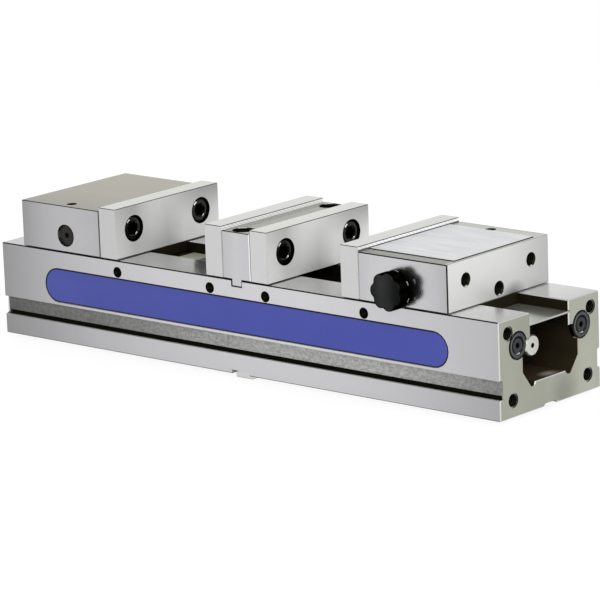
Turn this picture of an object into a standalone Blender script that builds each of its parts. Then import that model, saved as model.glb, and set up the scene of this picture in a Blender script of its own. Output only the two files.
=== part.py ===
# Double station milling vise, modelled piece by piece.
# Lengths are metres. The bed's underside is Z = 0, X runs along the bed, +Y is the rear.
# Each jaw is modelled once, outward from the face of its plate, and the left one is turned half a turn.
import math

import bmesh
import bpy
from mathutils import Vector

# Bed
BED_LENGTH = 0.4318
BED_WIDTH = 0.1032
BED_HEIGHT = 0.0635
BED_CHAMFER = 0.0006
WAY_SLOT_WIDTH = 0.0394
WAY_THICKNESS = 0.0163
CAVITY_WIDTH = 0.0580
CAVITY_HEIGHT = 0.0287
CAVITY_WALL_FOOT_RISE = 0.0080
CAVITY_RELIEF_DEPTH = 0.0030
CAVITY_RELIEF_OUTER_WIDTH = 0.0410
CAVITY_RELIEF_INNER_WIDTH = 0.0336
CAVITY_FLOOR_WIDTH = 0.0312
SIDE_GROOVE_DEPTH = 0.0035
SIDE_GROOVE_BOTTOM = 0.0134
SIDE_GROOVE_TOP = 0.0260
UNDERCUT_DEPTH = 0.0024
UNDERCUT_HEIGHT = 0.0026
UNDERCUT_END_WALL = 0.0012
LONG_KEYWAY_WIDTH = 0.0136
LONG_KEYWAY_DEPTH = 0.0026
CROSS_KEYWAY_WIDTH = 0.0152
SIDE_HOLE_DIAMETER = 0.0074
SIDE_HOLE_DEPTH = 0.0120
SIDE_HOLE_BELOW_TOP = 0.0079
SIDE_HOLE_INNER_X = 0.0242
SIDE_HOLE_OUTER_X = 0.1074
END_HOLE_DIAMETER = 0.0084
END_HOLE_MOUTH_DIAMETER = 0.0098
END_HOLE_DEPTH = 0.0200
END_HOLE_UPPER_FROM_SIDE = 0.0092
END_HOLE_UPPER_BELOW_TOP = 0.0088
END_HOLE_LOWER_FROM_SIDE = 0.0131
END_HOLE_LOWER_HEIGHT = 0.0112

# Fits, and the shares that all screws follow
RUNNING_GAP = 0.0003
CUT_OVERRUN = 0.0030
SOCKET_DEPTH_SHARE = 0.55
HEAD_EDGE_SHARE = 0.10
SET_SCREW_EDGE_SHARE = 0.10

# Name plate, left bare
NAMEPLATE_END_MARGIN = 0.0404
NAMEPLATE_HEIGHT = 0.0235
NAMEPLATE_ABOVE_GROOVE = 0.00185
NAMEPLATE_THICKNESS = 0.0005
NAMEPLATE_RECESS = 0.0010

# Chip covers between the ways at both ends
COVER_CLEARANCE = 0.0012
COVER_THICKNESS = 0.0012
COVER_TOP_BELOW_WAY = 0.0072
COVER_GROOVE_DEPTH = 0.0016

# Stop discs on the end faces
STOP_DIAMETER = 0.0180
STOP_THICKNESS = 0.0038
STOP_FROM_SIDE = 0.01895
STOP_BELOW_TOP = 0.0183
STOP_PROUD = 0.0003
STOP_SCREW_HEAD_DIAMETER = 0.0100
STOP_SCREW_HEAD_HEIGHT = 0.0022
STOP_SCREW_SHANK_DIAMETER = 0.0044
STOP_SCREW_SHANK_LENGTH = 0.0120
STOP_SCREW_SOCKET = 0.0030
STOP_HEAD_RECESS = 0.0005
STOP_CHAMFER = 0.0004
STOP_CLEARANCE = 0.0008

# Locating keys under the bed
KEY_LENGTH = 0.0240
KEY_SETBACK = 0.0035
KEY_PROUD = 0.0030
KEY_CHAMFER = 0.0004
KEY_SCREW_HEAD_DIAMETER = 0.0086
KEY_SCREW_HEAD_HEIGHT = 0.0030
KEY_SCREW_SHANK_DIAMETER = 0.0048
KEY_SCREW_SHANK_LENGTH = 0.0110
KEY_SCREW_SOCKET = 0.0030
KEY_HEAD_RECESS = 0.0004

# Jaw plates and their screws
PLATE_THICKNESS = 0.0147
PLATE_HEIGHT = 0.0347
PLATE_CHAMFER = 0.0004
PLATE_SCREW_FROM_SIDE = 0.0183
PLATE_SCREW_Z = 0.0188
PLATE_COUNTERBORE_DIAMETER = 0.0182
PLATE_COUNTERBORE_DEPTH = 0.0102
PLATE_SCREW_HEAD_DIAMETER = 0.0166
PLATE_SCREW_HEAD_HEIGHT = 0.0090
PLATE_SCREW_SHANK_DIAMETER = 0.0090
PLATE_SCREW_SHANK_LENGTH = 0.0150
PLATE_SCREW_SOCKET = 0.0080

# Moving jaws, measured outward from the face of the jaw plate
LEFT_JAW_FROM_STOP = 0.0097
RIGHT_JAW_FROM_STOP = 0.0282
JAW_LENGTH = 0.0871
JAW_HEIGHT = 0.0321
JAW_CHAMFER = 0.0005
TONGUE_DEPTH = 0.0067
TONGUE_FRONT = 0.0008
TOP_STRIP_WIDTH = 0.0110
TOP_STRIP_END_WIDTH = 0.0032
TOP_STRIP_DROP = 0.0004
OIL_HOLE_DIAMETER = 0.0070
OIL_HOLE_DEPTH = 0.0080
OIL_HOLE_U = 0.0468
OIL_HOLE_EDGE = 0.0078
CROSS_HOLE_U = 0.0465
CROSS_HOLE_Z = 0.0117
PLUG_DIAMETER = 0.0148
PLUG_LENGTH = 0.0090
PLUG_RECESS = 0.0012
PLUG_SOCKET = 0.0050
ADJUST_SCREW_Z = 0.0065
ADJUST_HOLE_DIAMETER = 0.0100
ADJUST_SCREW_LENGTH = 0.0120
ADJUST_SCREW_SOCKET = 0.0050

# Nut carriages with their posts, and the half balls that pull the jaws down
NUT_FRONT = 0.0072
NUT_TAIL = 0.0071
NUT_FLOOR_GAP = 0.0010
NOSE_REACH = 0.0220
NOSE_THICKNESS = 0.0050
GUIDE_TOP_GAP = 0.0009
BALL_RADIUS = 0.0110
BALL_U = 0.0340
BALL_Z = 0.0125
POST_WIDTH = 0.0240
POST_HEIGHT = 0.0225
POST_REAR = 0.0570
POST_SHOULDER = 0.0030
POCKET_GAP = 0.0010

# Brake on the right jaw: a knob whose cone drives a shoe down on the way
KNOB_DIAMETER = 0.0254
KNOB_LOBES = 7
KNOB_LOBE_DEPTH = 0.0014
KNOB_LOBE_POWER = 0.6
KNOB_THICKNESS = 0.0100
KNOB_COLLAR_HEIGHT = 0.0018
KNOB_COLLAR_DIAMETER = 0.0170
KNOB_FACE_DOME = 0.0006
KNOB_EDGE_RADIUS = 0.0012
STUD_DIAMETER = 0.0090
STUD_IN_KNOB = 0.0060
STUD_CONE_LENGTH = 0.0040
STUD_TIP_DIAMETER = 0.0010
SHOE_DIAMETER = 0.0114
SHOE_FROM_SIDE = 0.0166
SHOE_HEIGHT = 0.0120
SHOE_LIFT = 0.0004

# Fixed centre jaw
CENTRE_BLOCK_THICKNESS = 0.0238
CENTRE_TONGUE_WIDTH = 0.0078
CENTRE_TONGUE_DEPTH = 0.0040
CENTRE_BOLT_FROM_SIDE = 0.0082
CENTRE_BOLT_HEAD_DIAMETER = 0.0130
CENTRE_BOLT_HEAD_HEIGHT = 0.0060
CENTRE_BOLT_SHANK_DIAMETER = 0.0076
CENTRE_BOLT_REACH = 0.0180
CENTRE_BOLT_SOCKET = 0.0060
CENTRE_COUNTERBORE_DIAMETER = 0.0150
CENTRE_COUNTERBORE_DEPTH = 0.0085

# Leadscrew and its bearing under the centre jaw
SCREW_ABOVE_FLOOR = 0.0179
SCREW_DIAMETER = 0.0160
SCREW_END_RECESS = 0.0139
SCREW_END_DIAMETER = 0.0140
SCREW_END_LENGTH = 0.0080
SCREW_END_CHAMFER = 0.0007
CENTRE_DRILL_DIAMETER = 0.0026
CENTRE_DRILL_DEPTH = 0.0030
HEX_END_RECESS = 0.0014
HEX_ACROSS_FLATS = 0.0130
HEX_LENGTH = 0.0115
BEARING_LENGTH = 0.0180
WASHER_DIAMETER = 0.0240
WASHER_THICKNESS = 0.0015
COLLAR_DIAMETER = 0.0250
LEFT_COLLAR_LENGTH = 0.0040
RIGHT_COLLAR_LENGTH = 0.0090
BEARING_BOLT_Y = 0.0150
BEARING_BOLT_HEAD_DIAMETER = 0.0100
BEARING_BOLT_HEAD_HEIGHT = 0.0040
BEARING_BOLT_SHANK_DIAMETER = 0.0060
BEARING_BOLT_REACH = 0.0100
BEARING_BOLT_SOCKET = 0.0050
BEARING_HEAD_RECESS = 0.0006

# Mesh fineness
HOLE_STEPS = 20
FINE_STEPS = 32
LOBE_STEPS = 8
SMOOTH_ANGLE = math.radians(32)

# Colours
GROUND_STEEL = (0.56, 0.56, 0.56)
GREY_STEEL = (0.40, 0.41, 0.38)
BLACK_OXIDE = (0.020, 0.020, 0.019)
BLACK_PLASTIC = (0.022, 0.023, 0.025)
LABEL_BLUE = (0.078, 0.095, 0.38)
BRONZE = (0.42, 0.26, 0.12)

X_AXIS = Vector((1, 0, 0))
Y_AXIS = Vector((0, 1, 0))
Z_AXIS = Vector((0, 0, 1))


def clear_scene():
    for thing in list(bpy.data.objects):
        bpy.data.objects.remove(thing, do_unlink=True)


def material(name, colour, roughness, metallic):
    skin = bpy.data.materials.new(name)
    skin.use_nodes = True
    shader = skin.node_tree.nodes["Principled BSDF"]
    shader.inputs["Base Color"].default_value = (*colour, 1)
    shader.inputs["Roughness"].default_value = roughness
    shader.inputs["Metallic"].default_value = metallic
    skin.diffuse_color = (*colour, 1)
    return skin


def frame(name, place, turn=0.0, parent=None):
    empty = bpy.data.objects.new(name, None)
    bpy.context.collection.objects.link(empty)
    empty.location = place
    empty.rotation_euler = (0, 0, turn)
    empty.parent = parent
    return empty


def solid(name, bm):
    bmesh.ops.recalc_face_normals(bm, faces=bm.faces)
    mesh = bpy.data.meshes.new(name)
    bm.to_mesh(mesh)
    bm.free()
    thing = bpy.data.objects.new(name, mesh)
    bpy.context.collection.objects.link(thing)
    return thing


def box(name, low, high, chamfer=0.0):
    bm = bmesh.new()
    bmesh.ops.create_cube(bm, size=1)
    low = Vector(low)
    high = Vector(high)
    for vert in bm.verts:
        vert.co = [a + (b - a) * (c + 0.5) for a, b, c in zip(low, high, vert.co)]
    if chamfer:
        bmesh.ops.bevel(bm, geom=bm.edges[:], offset=chamfer, segments=1, affect="EDGES")
    return solid(name, bm)


def prism(name, outline, low, high, place, chamfer=0.0):
    # place turns an outline's two values and the height into a point
    bm = bmesh.new()
    ends = [[bm.verts.new(place(a, b, height)) for a, b in outline] for height in (low, high)]
    caps = [bm.faces.new(corners) for corners in ends]
    count = len(outline)
    for i in range(count):
        j = (i + 1) % count
        bm.faces.new((ends[0][i], ends[0][j], ends[1][j], ends[1][i]))
    if chamfer:
        rims = [edge for cap in caps for edge in cap.edges]
        bmesh.ops.bevel(bm, geom=rims, offset=chamfer, segments=1, affect="EDGES")
    return solid(name, bm)


def along_x(a, b, height):
    return height, a, b


def along_y(a, b, height):
    return a, height, b


def along_z(a, b, height):
    return a, b, height


def circle(radius, steps, centre=(0.0, 0.0), start=0.0):
    turns = (start + 2 * math.pi * i / steps for i in range(steps))
    return [(centre[0] + radius * math.cos(t), centre[1] + radius * math.sin(t)) for t in turns]


def rod(name, diameter, low, high, place, centre=(0.0, 0.0), steps=HOLE_STEPS):
    return prism(name, circle(diameter / 2, steps, centre), low, high, place)


def hexagon(across):
    return circle(across / math.sqrt(3), 6)


def turned(name, profile, steps=FINE_STEPS):
    # profile runs from the axis round to the axis again, as radius and height along local Z
    bm = bmesh.new()
    rings = []
    for radius, height in profile:
        if radius == 0:
            rings.append([bm.verts.new((0, 0, height))])
        else:
            rings.append([bm.verts.new((x, y, height)) for x, y in circle(radius, steps)])
    for lower, upper in zip(rings, rings[1:]):
        for i in range(steps):
            j = (i + 1) % steps
            corners = [lower[i % len(lower)], lower[j % len(lower)]]
            corners += [upper[j % len(upper)], upper[i % len(upper)]]
            bm.faces.new(list(dict.fromkeys(corners)))
    return solid(name, bm)


def combine(thing, operation, tools):
    for tool in tools:
        step = thing.modifiers.new("step", "BOOLEAN")
        step.operation = operation
        step.object = tool
        step.solver = "EXACT"
        bpy.context.view_layer.update()
        evaluated = thing.evaluated_get(bpy.context.evaluated_depsgraph_get())
        mesh = bpy.data.meshes.new_from_object(evaluated)
        thing.modifiers.clear()
        thing.data = mesh
        mesh.name = thing.name
        bpy.data.objects.remove(tool, do_unlink=True)
    return thing


def cut(thing, *tools):
    return combine(thing, "DIFFERENCE", tools)


def add(thing, *tools):
    return combine(thing, "UNION", tools)


def finish(thing, skin, parent=None, location=(0, 0, 0), facing=Z_AXIS):
    thing.data.materials.clear()
    thing.data.materials.append(skin)
    thing.data.shade_smooth()
    thing.data.set_sharp_from_angle(angle=SMOOTH_ANGLE)
    thing.parent = parent
    thing.location = location
    thing.rotation_euler = Z_AXIS.rotation_difference(Vector(facing)).to_euler()
    return thing


def cap_screw(name, head_diameter, head_height, shank_diameter, shank_length, socket):
    # The head's underside is at local zero and its socket opens along local +Z
    edge = head_height * HEAD_EDGE_SHARE
    profile = [
        (0, -shank_length),
        (shank_diameter / 2 - edge, -shank_length),
        (shank_diameter / 2, edge - shank_length),
        (shank_diameter / 2, 0),
        (head_diameter / 2, 0),
        (head_diameter / 2, head_height - edge),
        (head_diameter / 2 - edge, head_height),
        (0, head_height),
    ]
    screw = turned(name, profile, HOLE_STEPS)
    bottom = head_height * (1 - SOCKET_DEPTH_SHARE)
    return cut(screw, prism("socket", hexagon(socket), bottom, head_height + CUT_OVERRUN, along_z))


def set_screw(name, diameter, length, socket):
    # The socketed end is at local zero and the body runs along local -Z
    edge = diameter / 2 * SET_SCREW_EDGE_SHARE
    profile = [
        (0, -length),
        (diameter / 2 - edge, -length),
        (diameter / 2, edge - length),
        (diameter / 2, -edge),
        (diameter / 2 - edge, 0),
        (0, 0),
    ]
    screw = turned(name, profile, HOLE_STEPS)
    bottom = -length * SOCKET_DEPTH_SHARE
    return cut(screw, prism("socket", hexagon(socket), bottom, CUT_OVERRUN, along_z))


def wall_width(height):
    # Width of the cavity at a height where its walls lean in
    share = (height - relief_floor()) / (wall_foot() - relief_floor())
    return CAVITY_RELIEF_OUTER_WIDTH + share * (CAVITY_WIDTH - CAVITY_RELIEF_OUTER_WIDTH)


def way_underside():
    return BED_HEIGHT - WAY_THICKNESS


def cavity_floor():
    return way_underside() - CAVITY_HEIGHT


def relief_floor():
    return cavity_floor() - CAVITY_RELIEF_DEPTH


def wall_foot():
    return cavity_floor() + CAVITY_WALL_FOOT_RISE


def cover_top():
    return BED_HEIGHT - COVER_TOP_BELOW_WAY


def jaw_face(from_stop):
    # Where a moving jaw's plate face stands, from the middle of the bed
    return centre_half() + largest_opening() - from_stop


def centre_half():
    # Half the centre jaw with its two plates and the gaps between them
    return CENTRE_BLOCK_THICKNESS / 2 + RUNNING_GAP + PLATE_THICKNESS


def largest_opening():
    # At its stop a jaw's nut just clears the stop discs, which leaves 90.5 mm between the plates
    stop = BED_LENGTH / 2 + STOP_PROUD - STOP_THICKNESS
    return stop - STOP_CLEARANCE - NUT_TAIL - JAW_LENGTH - centre_half()


def screw_height():
    return cavity_floor() + SCREW_ABOVE_FLOOR


def nut_end():
    # Measured as the jaws are, from the face of the plate
    return JAW_LENGTH + NUT_TAIL


def plate_screw_spot(turn):
    return turn * (BED_WIDTH / 2 - PLATE_SCREW_FROM_SIDE), PLATE_SCREW_Z


def centre_bolt_y(turn):
    return turn * (BED_WIDTH / 2 - CENTRE_BOLT_FROM_SIDE)


def stop_spot(turn):
    return turn * (BED_WIDTH / 2 - STOP_FROM_SIDE), BED_HEIGHT - STOP_BELOW_TOP


def bed_outline():
    # The bed's section on its +Y side, from the slot's top inner edge round to the keyway
    slot = WAY_SLOT_WIDTH / 2
    side = BED_WIDTH / 2
    groove_low = cover_top() - COVER_THICKNESS - RUNNING_GAP
    groove_high = cover_top() + RUNNING_GAP
    half = [
        (LONG_KEYWAY_WIDTH / 2, LONG_KEYWAY_DEPTH),
        (LONG_KEYWAY_WIDTH / 2, 0),
        (side - BED_CHAMFER, 0),
        (side, BED_CHAMFER),
        (side, SIDE_GROOVE_BOTTOM),
        (side - SIDE_GROOVE_DEPTH, SIDE_GROOVE_BOTTOM),
        (side - SIDE_GROOVE_DEPTH, SIDE_GROOVE_TOP),
        (side, SIDE_GROOVE_TOP),
        (side, BED_HEIGHT - BED_CHAMFER),
        (side - BED_CHAMFER, BED_HEIGHT),
        (slot + BED_CHAMFER, BED_HEIGHT),
        (slot, BED_HEIGHT - BED_CHAMFER),
        (slot, groove_high),
        (slot + COVER_GROOVE_DEPTH, groove_high),
        (slot + COVER_GROOVE_DEPTH, groove_low),
        (slot, groove_low),
        (slot, way_underside()),
        (CAVITY_WIDTH / 2, way_underside()),
        (CAVITY_WIDTH / 2, wall_foot()),
        (CAVITY_RELIEF_OUTER_WIDTH / 2, relief_floor()),
        (CAVITY_RELIEF_INNER_WIDTH / 2, relief_floor()),
        (CAVITY_FLOOR_WIDTH / 2, cavity_floor()),
    ]
    return half + [(-y, z) for y, z in reversed(half)]


def stadium(length, height, steps=HOLE_STEPS):
    radius = height / 2
    reach = length / 2 - radius
    points = []
    for side, start in ((1, -math.pi / 2), (-1, math.pi / 2)):
        for i in range(steps // 2 + 1):
            turn = start + math.pi * i / (steps // 2)
            points.append((side * reach + radius * math.cos(turn), radius * math.sin(turn)))
    return points


def nameplate_outline(margin):
    length = BED_LENGTH - 2 * NAMEPLATE_END_MARGIN
    centre = SIDE_GROOVE_TOP + NAMEPLATE_ABOVE_GROOVE + NAMEPLATE_HEIGHT / 2
    points = stadium(length + 2 * margin, NAMEPLATE_HEIGHT + 2 * margin)
    return [(x, z + centre) for x, z in points]


def make_bed(skin):
    half = BED_LENGTH / 2
    side = BED_WIDTH / 2
    bed = prism("bed", bed_outline(), -half, half, along_x, BED_CHAMFER)
    pocket_floor = NAMEPLATE_RECESS - side
    cut(bed, prism("pocket", nameplate_outline(RUNNING_GAP), -side - CUT_OVERRUN, pocket_floor, along_y))
    for turn in (-1, 1):
        wall = side - SIDE_GROOVE_DEPTH
        near, far = sorted((turn * (wall - UNDERCUT_DEPTH), turn * (wall + SIDE_GROOVE_DEPTH / 2)))
        reach = half - UNDERCUT_END_WALL
        top = SIDE_GROOVE_BOTTOM + UNDERCUT_HEIGHT
        cut(bed, box("undercut", (-reach, near, SIDE_GROOVE_BOTTOM), (reach, far, top)))
        for x in (-SIDE_HOLE_OUTER_X, -SIDE_HOLE_INNER_X, SIDE_HOLE_INNER_X, SIDE_HOLE_OUTER_X):
            ends = sorted((turn * (side - SIDE_HOLE_DEPTH), turn * (side + CUT_OVERRUN)))
            spot = (x, BED_HEIGHT - SIDE_HOLE_BELOW_TOP)
            cut(bed, rod("hole", SIDE_HOLE_DIAMETER, *ends, along_y, spot))
    for end in (-1, 1):
        for turn in (-1, 1):
            cut_end(bed, end, turn)
    key_half = CENTRE_TONGUE_WIDTH / 2 + RUNNING_GAP
    key_floor = BED_HEIGHT - CENTRE_TONGUE_DEPTH
    past = side + CUT_OVERRUN
    above = BED_HEIGHT + CUT_OVERRUN
    cut(bed, box("keyway", (-key_half, -past, key_floor), (key_half, past, above)))
    cross = CROSS_KEYWAY_WIDTH / 2
    cut(bed, box("keyway", (-cross, -past, -CUT_OVERRUN), (cross, past, LONG_KEYWAY_DEPTH)))
    for turn in (-1, 1):
        cut_floor(bed, turn)
    return finish(bed, skin)


def cut_end(bed, end, turn):
    face = BED_LENGTH / 2
    spots = (
        (turn * (BED_WIDTH / 2 - END_HOLE_UPPER_FROM_SIDE), BED_HEIGHT - END_HOLE_UPPER_BELOW_TOP),
        (turn * (BED_WIDTH / 2 - END_HOLE_LOWER_FROM_SIDE), END_HOLE_LOWER_HEIGHT),
    )
    countersink = (END_HOLE_MOUTH_DIAMETER - END_HOLE_DIAMETER) / 2
    for spot in spots:
        ends = sorted((end * (face - END_HOLE_DEPTH), end * (face + CUT_OVERRUN)))
        cut(bed, rod("hole", END_HOLE_DIAMETER, *ends, along_x, spot))
        ends = sorted((end * (face - countersink), end * (face + CUT_OVERRUN)))
        cut(bed, rod("mouth", END_HOLE_MOUTH_DIAMETER, *ends, along_x, spot))
    spot = stop_spot(turn)
    seat = face - STOP_THICKNESS + STOP_PROUD - RUNNING_GAP
    ends = sorted((end * seat, end * (face + CUT_OVERRUN)))
    cut(bed, rod("seat", STOP_DIAMETER + 2 * RUNNING_GAP, *ends, along_x, spot, FINE_STEPS))
    ends = sorted((end * (seat - STOP_SCREW_SHANK_LENGTH), end * face))
    cut(bed, rod("hole", STOP_SCREW_SHANK_DIAMETER + 2 * RUNNING_GAP, *ends, along_x, spot))


def cut_floor(bed, turn):
    low = -CUT_OVERRUN
    bolt = (0, centre_bolt_y(turn))
    depth = BED_HEIGHT - CENTRE_BOLT_REACH - RUNNING_GAP
    shank = CENTRE_BOLT_SHANK_DIAMETER + 2 * RUNNING_GAP
    cut(bed, rod("hole", shank, depth, BED_HEIGHT + CUT_OVERRUN, along_z, bolt))
    bolt = (0, turn * BEARING_BOLT_Y)
    shank = BEARING_BOLT_SHANK_DIAMETER + 2 * RUNNING_GAP
    cut(bed, rod("hole", shank, low, cavity_floor() + CUT_OVERRUN, along_z, bolt))
    head = BEARING_BOLT_HEAD_DIAMETER + 2 * RUNNING_GAP
    cut(bed, rod("seat", head, low, bearing_head_seat() + RUNNING_GAP, along_z, bolt))
    screw = (0, turn * key_screw_y())
    shank = KEY_SCREW_SHANK_DIAMETER + 2 * RUNNING_GAP
    top = key_screw_seat() + KEY_SCREW_SHANK_LENGTH + RUNNING_GAP
    cut(bed, rod("hole", shank, low, top, along_z, screw))


def bearing_head_seat():
    return LONG_KEYWAY_DEPTH + BEARING_HEAD_RECESS + BEARING_BOLT_HEAD_HEIGHT


def key_screw_y():
    return BED_WIDTH / 2 - KEY_SETBACK - KEY_LENGTH / 2


def key_screw_seat():
    return KEY_SCREW_HEAD_HEIGHT + KEY_HEAD_RECESS - KEY_PROUD


def make_nameplate(skin):
    back = NAMEPLATE_RECESS - RUNNING_GAP - BED_WIDTH / 2
    plate = prism("nameplate", nameplate_outline(0), back - NAMEPLATE_THICKNESS, back, along_y)
    return finish(plate, skin)


def make_cover(side, end, skin):
    half = WAY_SLOT_WIDTH / 2 + COVER_GROOVE_DEPTH - RUNNING_GAP
    outer = BED_LENGTH / 2 - RUNNING_GAP
    # The cover starts where the post of a fully opened jaw ends
    inner = centre_half() + largest_opening() + POST_REAR + COVER_CLEARANCE
    low = (inner, -half, cover_top() - COVER_THICKNESS)
    cover = box(side + "_chip_cover", low, (outer, half, cover_top()))
    return finish(cover, skin, end)


def make_stop(side, place, turn, end, disc_skin, screw_skin):
    # The disc and its screw look along local +X, out of the end face
    spot = (BED_LENGTH / 2 + STOP_PROUD, *stop_spot(turn))
    seat = STOP_SCREW_HEAD_HEIGHT + STOP_HEAD_RECESS
    disc = turned(
        f"{side}_stop_disc_{place}",
        [
            (0, -STOP_THICKNESS),
            (STOP_DIAMETER / 2, -STOP_THICKNESS),
            (STOP_DIAMETER / 2, -STOP_CHAMFER),
            (STOP_DIAMETER / 2 - STOP_CHAMFER, 0),
            (0, 0),
        ],
    )
    head = STOP_SCREW_HEAD_DIAMETER + 2 * RUNNING_GAP
    shank = STOP_SCREW_SHANK_DIAMETER + 2 * RUNNING_GAP
    cut(disc, rod("seat", head, -seat - RUNNING_GAP, CUT_OVERRUN, along_z, steps=FINE_STEPS))
    cut(disc, rod("hole", shank, -STOP_THICKNESS - CUT_OVERRUN, 0, along_z))
    finish(disc, disc_skin, end, spot, X_AXIS)
    screw = cap_screw(
        f"{side}_stop_screw_{place}",
        STOP_SCREW_HEAD_DIAMETER,
        STOP_SCREW_HEAD_HEIGHT,
        STOP_SCREW_SHANK_DIAMETER,
        STOP_SCREW_SHANK_LENGTH - RUNNING_GAP,
        STOP_SCREW_SOCKET,
    )
    finish(screw, screw_skin, end, (spot[0] - seat, spot[1], spot[2]), X_AXIS)


def make_key(place, turn, key_skin, screw_skin):
    centre = turn * key_screw_y()
    half = CROSS_KEYWAY_WIDTH / 2 - RUNNING_GAP
    low = (-half, centre - KEY_LENGTH / 2, -KEY_PROUD)
    high = (half, centre + KEY_LENGTH / 2, LONG_KEYWAY_DEPTH - RUNNING_GAP)
    key = box("locating_key_" + place, low, high, KEY_CHAMFER)
    spot = (0, centre)
    head = KEY_SCREW_HEAD_DIAMETER + 2 * RUNNING_GAP
    shank = KEY_SCREW_SHANK_DIAMETER + 2 * RUNNING_GAP
    below = -KEY_PROUD - CUT_OVERRUN
    cut(key, rod("seat", head, below, key_screw_seat() + RUNNING_GAP, along_z, spot))
    cut(key, rod("hole", shank, below, LONG_KEYWAY_DEPTH, along_z, spot))
    finish(key, key_skin)
    screw = cap_screw(
        "key_screw_" + place,
        KEY_SCREW_HEAD_DIAMETER,
        KEY_SCREW_HEAD_HEIGHT,
        KEY_SCREW_SHANK_DIAMETER,
        KEY_SCREW_SHANK_LENGTH,
        KEY_SCREW_SOCKET,
    )
    finish(screw, screw_skin, None, (0, centre, key_screw_seat()), -Z_AXIS)


def make_plate(name, parent, skin):
    # Local X runs into the jaw from the plate's working face, local zero height is the bed's top
    half = BED_WIDTH / 2
    plate = box(
        name,
        (0, -half, RUNNING_GAP),
        (PLATE_THICKNESS, half, PLATE_HEIGHT),
        PLATE_CHAMFER,
    )
    for turn in (-1, 1):
        spot = plate_screw_spot(turn)
        ends = (-CUT_OVERRUN, PLATE_COUNTERBORE_DEPTH)
        cut(plate, rod("seat", PLATE_COUNTERBORE_DIAMETER, *ends, along_x, spot, FINE_STEPS))
        shank = PLATE_SCREW_SHANK_DIAMETER + 2 * RUNNING_GAP
        cut(plate, rod("hole", shank, 0, PLATE_THICKNESS + CUT_OVERRUN, along_x, spot))
    return finish(plate, skin, parent)


def make_plate_screw(name, turn, parent, skin):
    screw = cap_screw(
        name,
        PLATE_SCREW_HEAD_DIAMETER,
        PLATE_SCREW_HEAD_HEIGHT,
        PLATE_SCREW_SHANK_DIAMETER,
        PLATE_SCREW_SHANK_LENGTH,
        PLATE_SCREW_SOCKET,
    )
    seat = PLATE_COUNTERBORE_DEPTH - RUNNING_GAP
    return finish(screw, skin, parent, (seat, *plate_screw_spot(turn)), -X_AXIS)


def post_outline(gap):
    # The post leans towards the centre of the vise, so its slanted face presses the jaw down
    slant = gap * math.sqrt(2)
    foot = BALL_U + BALL_Z - POST_SHOULDER
    head = BALL_U + BALL_Z - POST_HEIGHT
    below = guide_top() - CUT_OVERRUN
    return [
        (foot - gap, below),
        (POST_REAR + gap, below),
        (POST_REAR + gap, POST_HEIGHT + gap),
        (head - slant - gap, POST_HEIGHT + gap),
        (foot - gap, POST_SHOULDER + gap - slant),
    ]


def guide_top():
    # Top of the nut's guide between the ways, measured from the bed's top
    return -TONGUE_DEPTH - GUIDE_TOP_GAP


def make_jaw_block(side, parent, skin, brake):
    half = BED_WIDTH / 2
    inner = PLATE_THICKNESS + RUNNING_GAP
    block = box(
        side + "_jaw_block",
        (inner, -half, RUNNING_GAP),
        (JAW_LENGTH, half, JAW_HEIGHT),
        JAW_CHAMFER,
    )
    tongue = WAY_SLOT_WIDTH / 2 - RUNNING_GAP
    low = (TONGUE_FRONT, -tongue, -TONGUE_DEPTH)
    add(block, box("tongue", low, (JAW_LENGTH - JAW_CHAMFER, tongue, 0)))
    neck = (inner + JAW_CHAMFER, -tongue, -RUNNING_GAP)
    add(block, box("neck", neck, (JAW_LENGTH - JAW_CHAMFER, tongue, JAW_CHAMFER + CUT_OVERRUN)))
    if brake:
        cut_top_strips(block)
    pocket = POST_WIDTH / 2 + POCKET_GAP
    cut(block, prism("pocket", post_outline(POCKET_GAP), -pocket, pocket, along_y))
    cut(block, ball("seat", BALL_RADIUS + RUNNING_GAP, BALL_U, BALL_Z))
    past = JAW_LENGTH + CUT_OVERRUN
    for turn in (-1, 1):
        shank = PLATE_SCREW_SHANK_DIAMETER + 2 * RUNNING_GAP
        cut(block, rod("hole", shank, 0, past, along_x, plate_screw_spot(turn)))
    middle = (0, ADJUST_SCREW_Z)
    cut(block, rod("hole", ADJUST_HOLE_DIAMETER, POST_REAR, past, along_x, middle))
    spot = (OIL_HOLE_U, half - OIL_HOLE_EDGE)
    above = JAW_HEIGHT + CUT_OVERRUN
    cut(block, rod("hole", OIL_HOLE_DIAMETER, JAW_HEIGHT - OIL_HOLE_DEPTH, above, along_z, spot))
    cross = (CROSS_HOLE_U, CROSS_HOLE_Z)
    depth = half - PLUG_RECESS - PLUG_LENGTH - RUNNING_GAP
    bore = PLUG_DIAMETER + 2 * RUNNING_GAP
    cut(block, rod("hole", bore, depth, half + CUT_OVERRUN, along_y, cross))
    if brake:
        stud = STUD_DIAMETER + 2 * RUNNING_GAP
        cut(block, rod("hole", stud, -half - CUT_OVERRUN, -shoe_y(), along_y, cross))
        shoe = SHOE_DIAMETER + 2 * RUNNING_GAP
        top = SHOE_LIFT + SHOE_HEIGHT + POCKET_GAP + STUD_DIAMETER / 2
        place = (CROSS_HOLE_U, -shoe_y())
        cut(block, rod("hole", shoe, -CUT_OVERRUN, top, along_z, place))
    else:
        cut(block, rod("hole", bore, -half - CUT_OVERRUN, -depth, along_y, cross))
    return finish(block, skin, parent)


def cut_top_strips(block):
    half = BED_WIDTH / 2
    low = JAW_HEIGHT - TOP_STRIP_DROP
    high = JAW_HEIGHT + CUT_OVERRUN
    start = PLATE_THICKNESS
    end = JAW_LENGTH + CUT_OVERRUN
    panel = half - TOP_STRIP_WIDTH
    past = half + CUT_OVERRUN
    cut(block, box("strip", (start, -past, low), (end, -panel, high)))
    cut(block, box("strip", (start, panel, low), (end, past, high)))
    cut(block, box("strip", (JAW_LENGTH - TOP_STRIP_END_WIDTH, -past, low), (end, past, high)))


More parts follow.
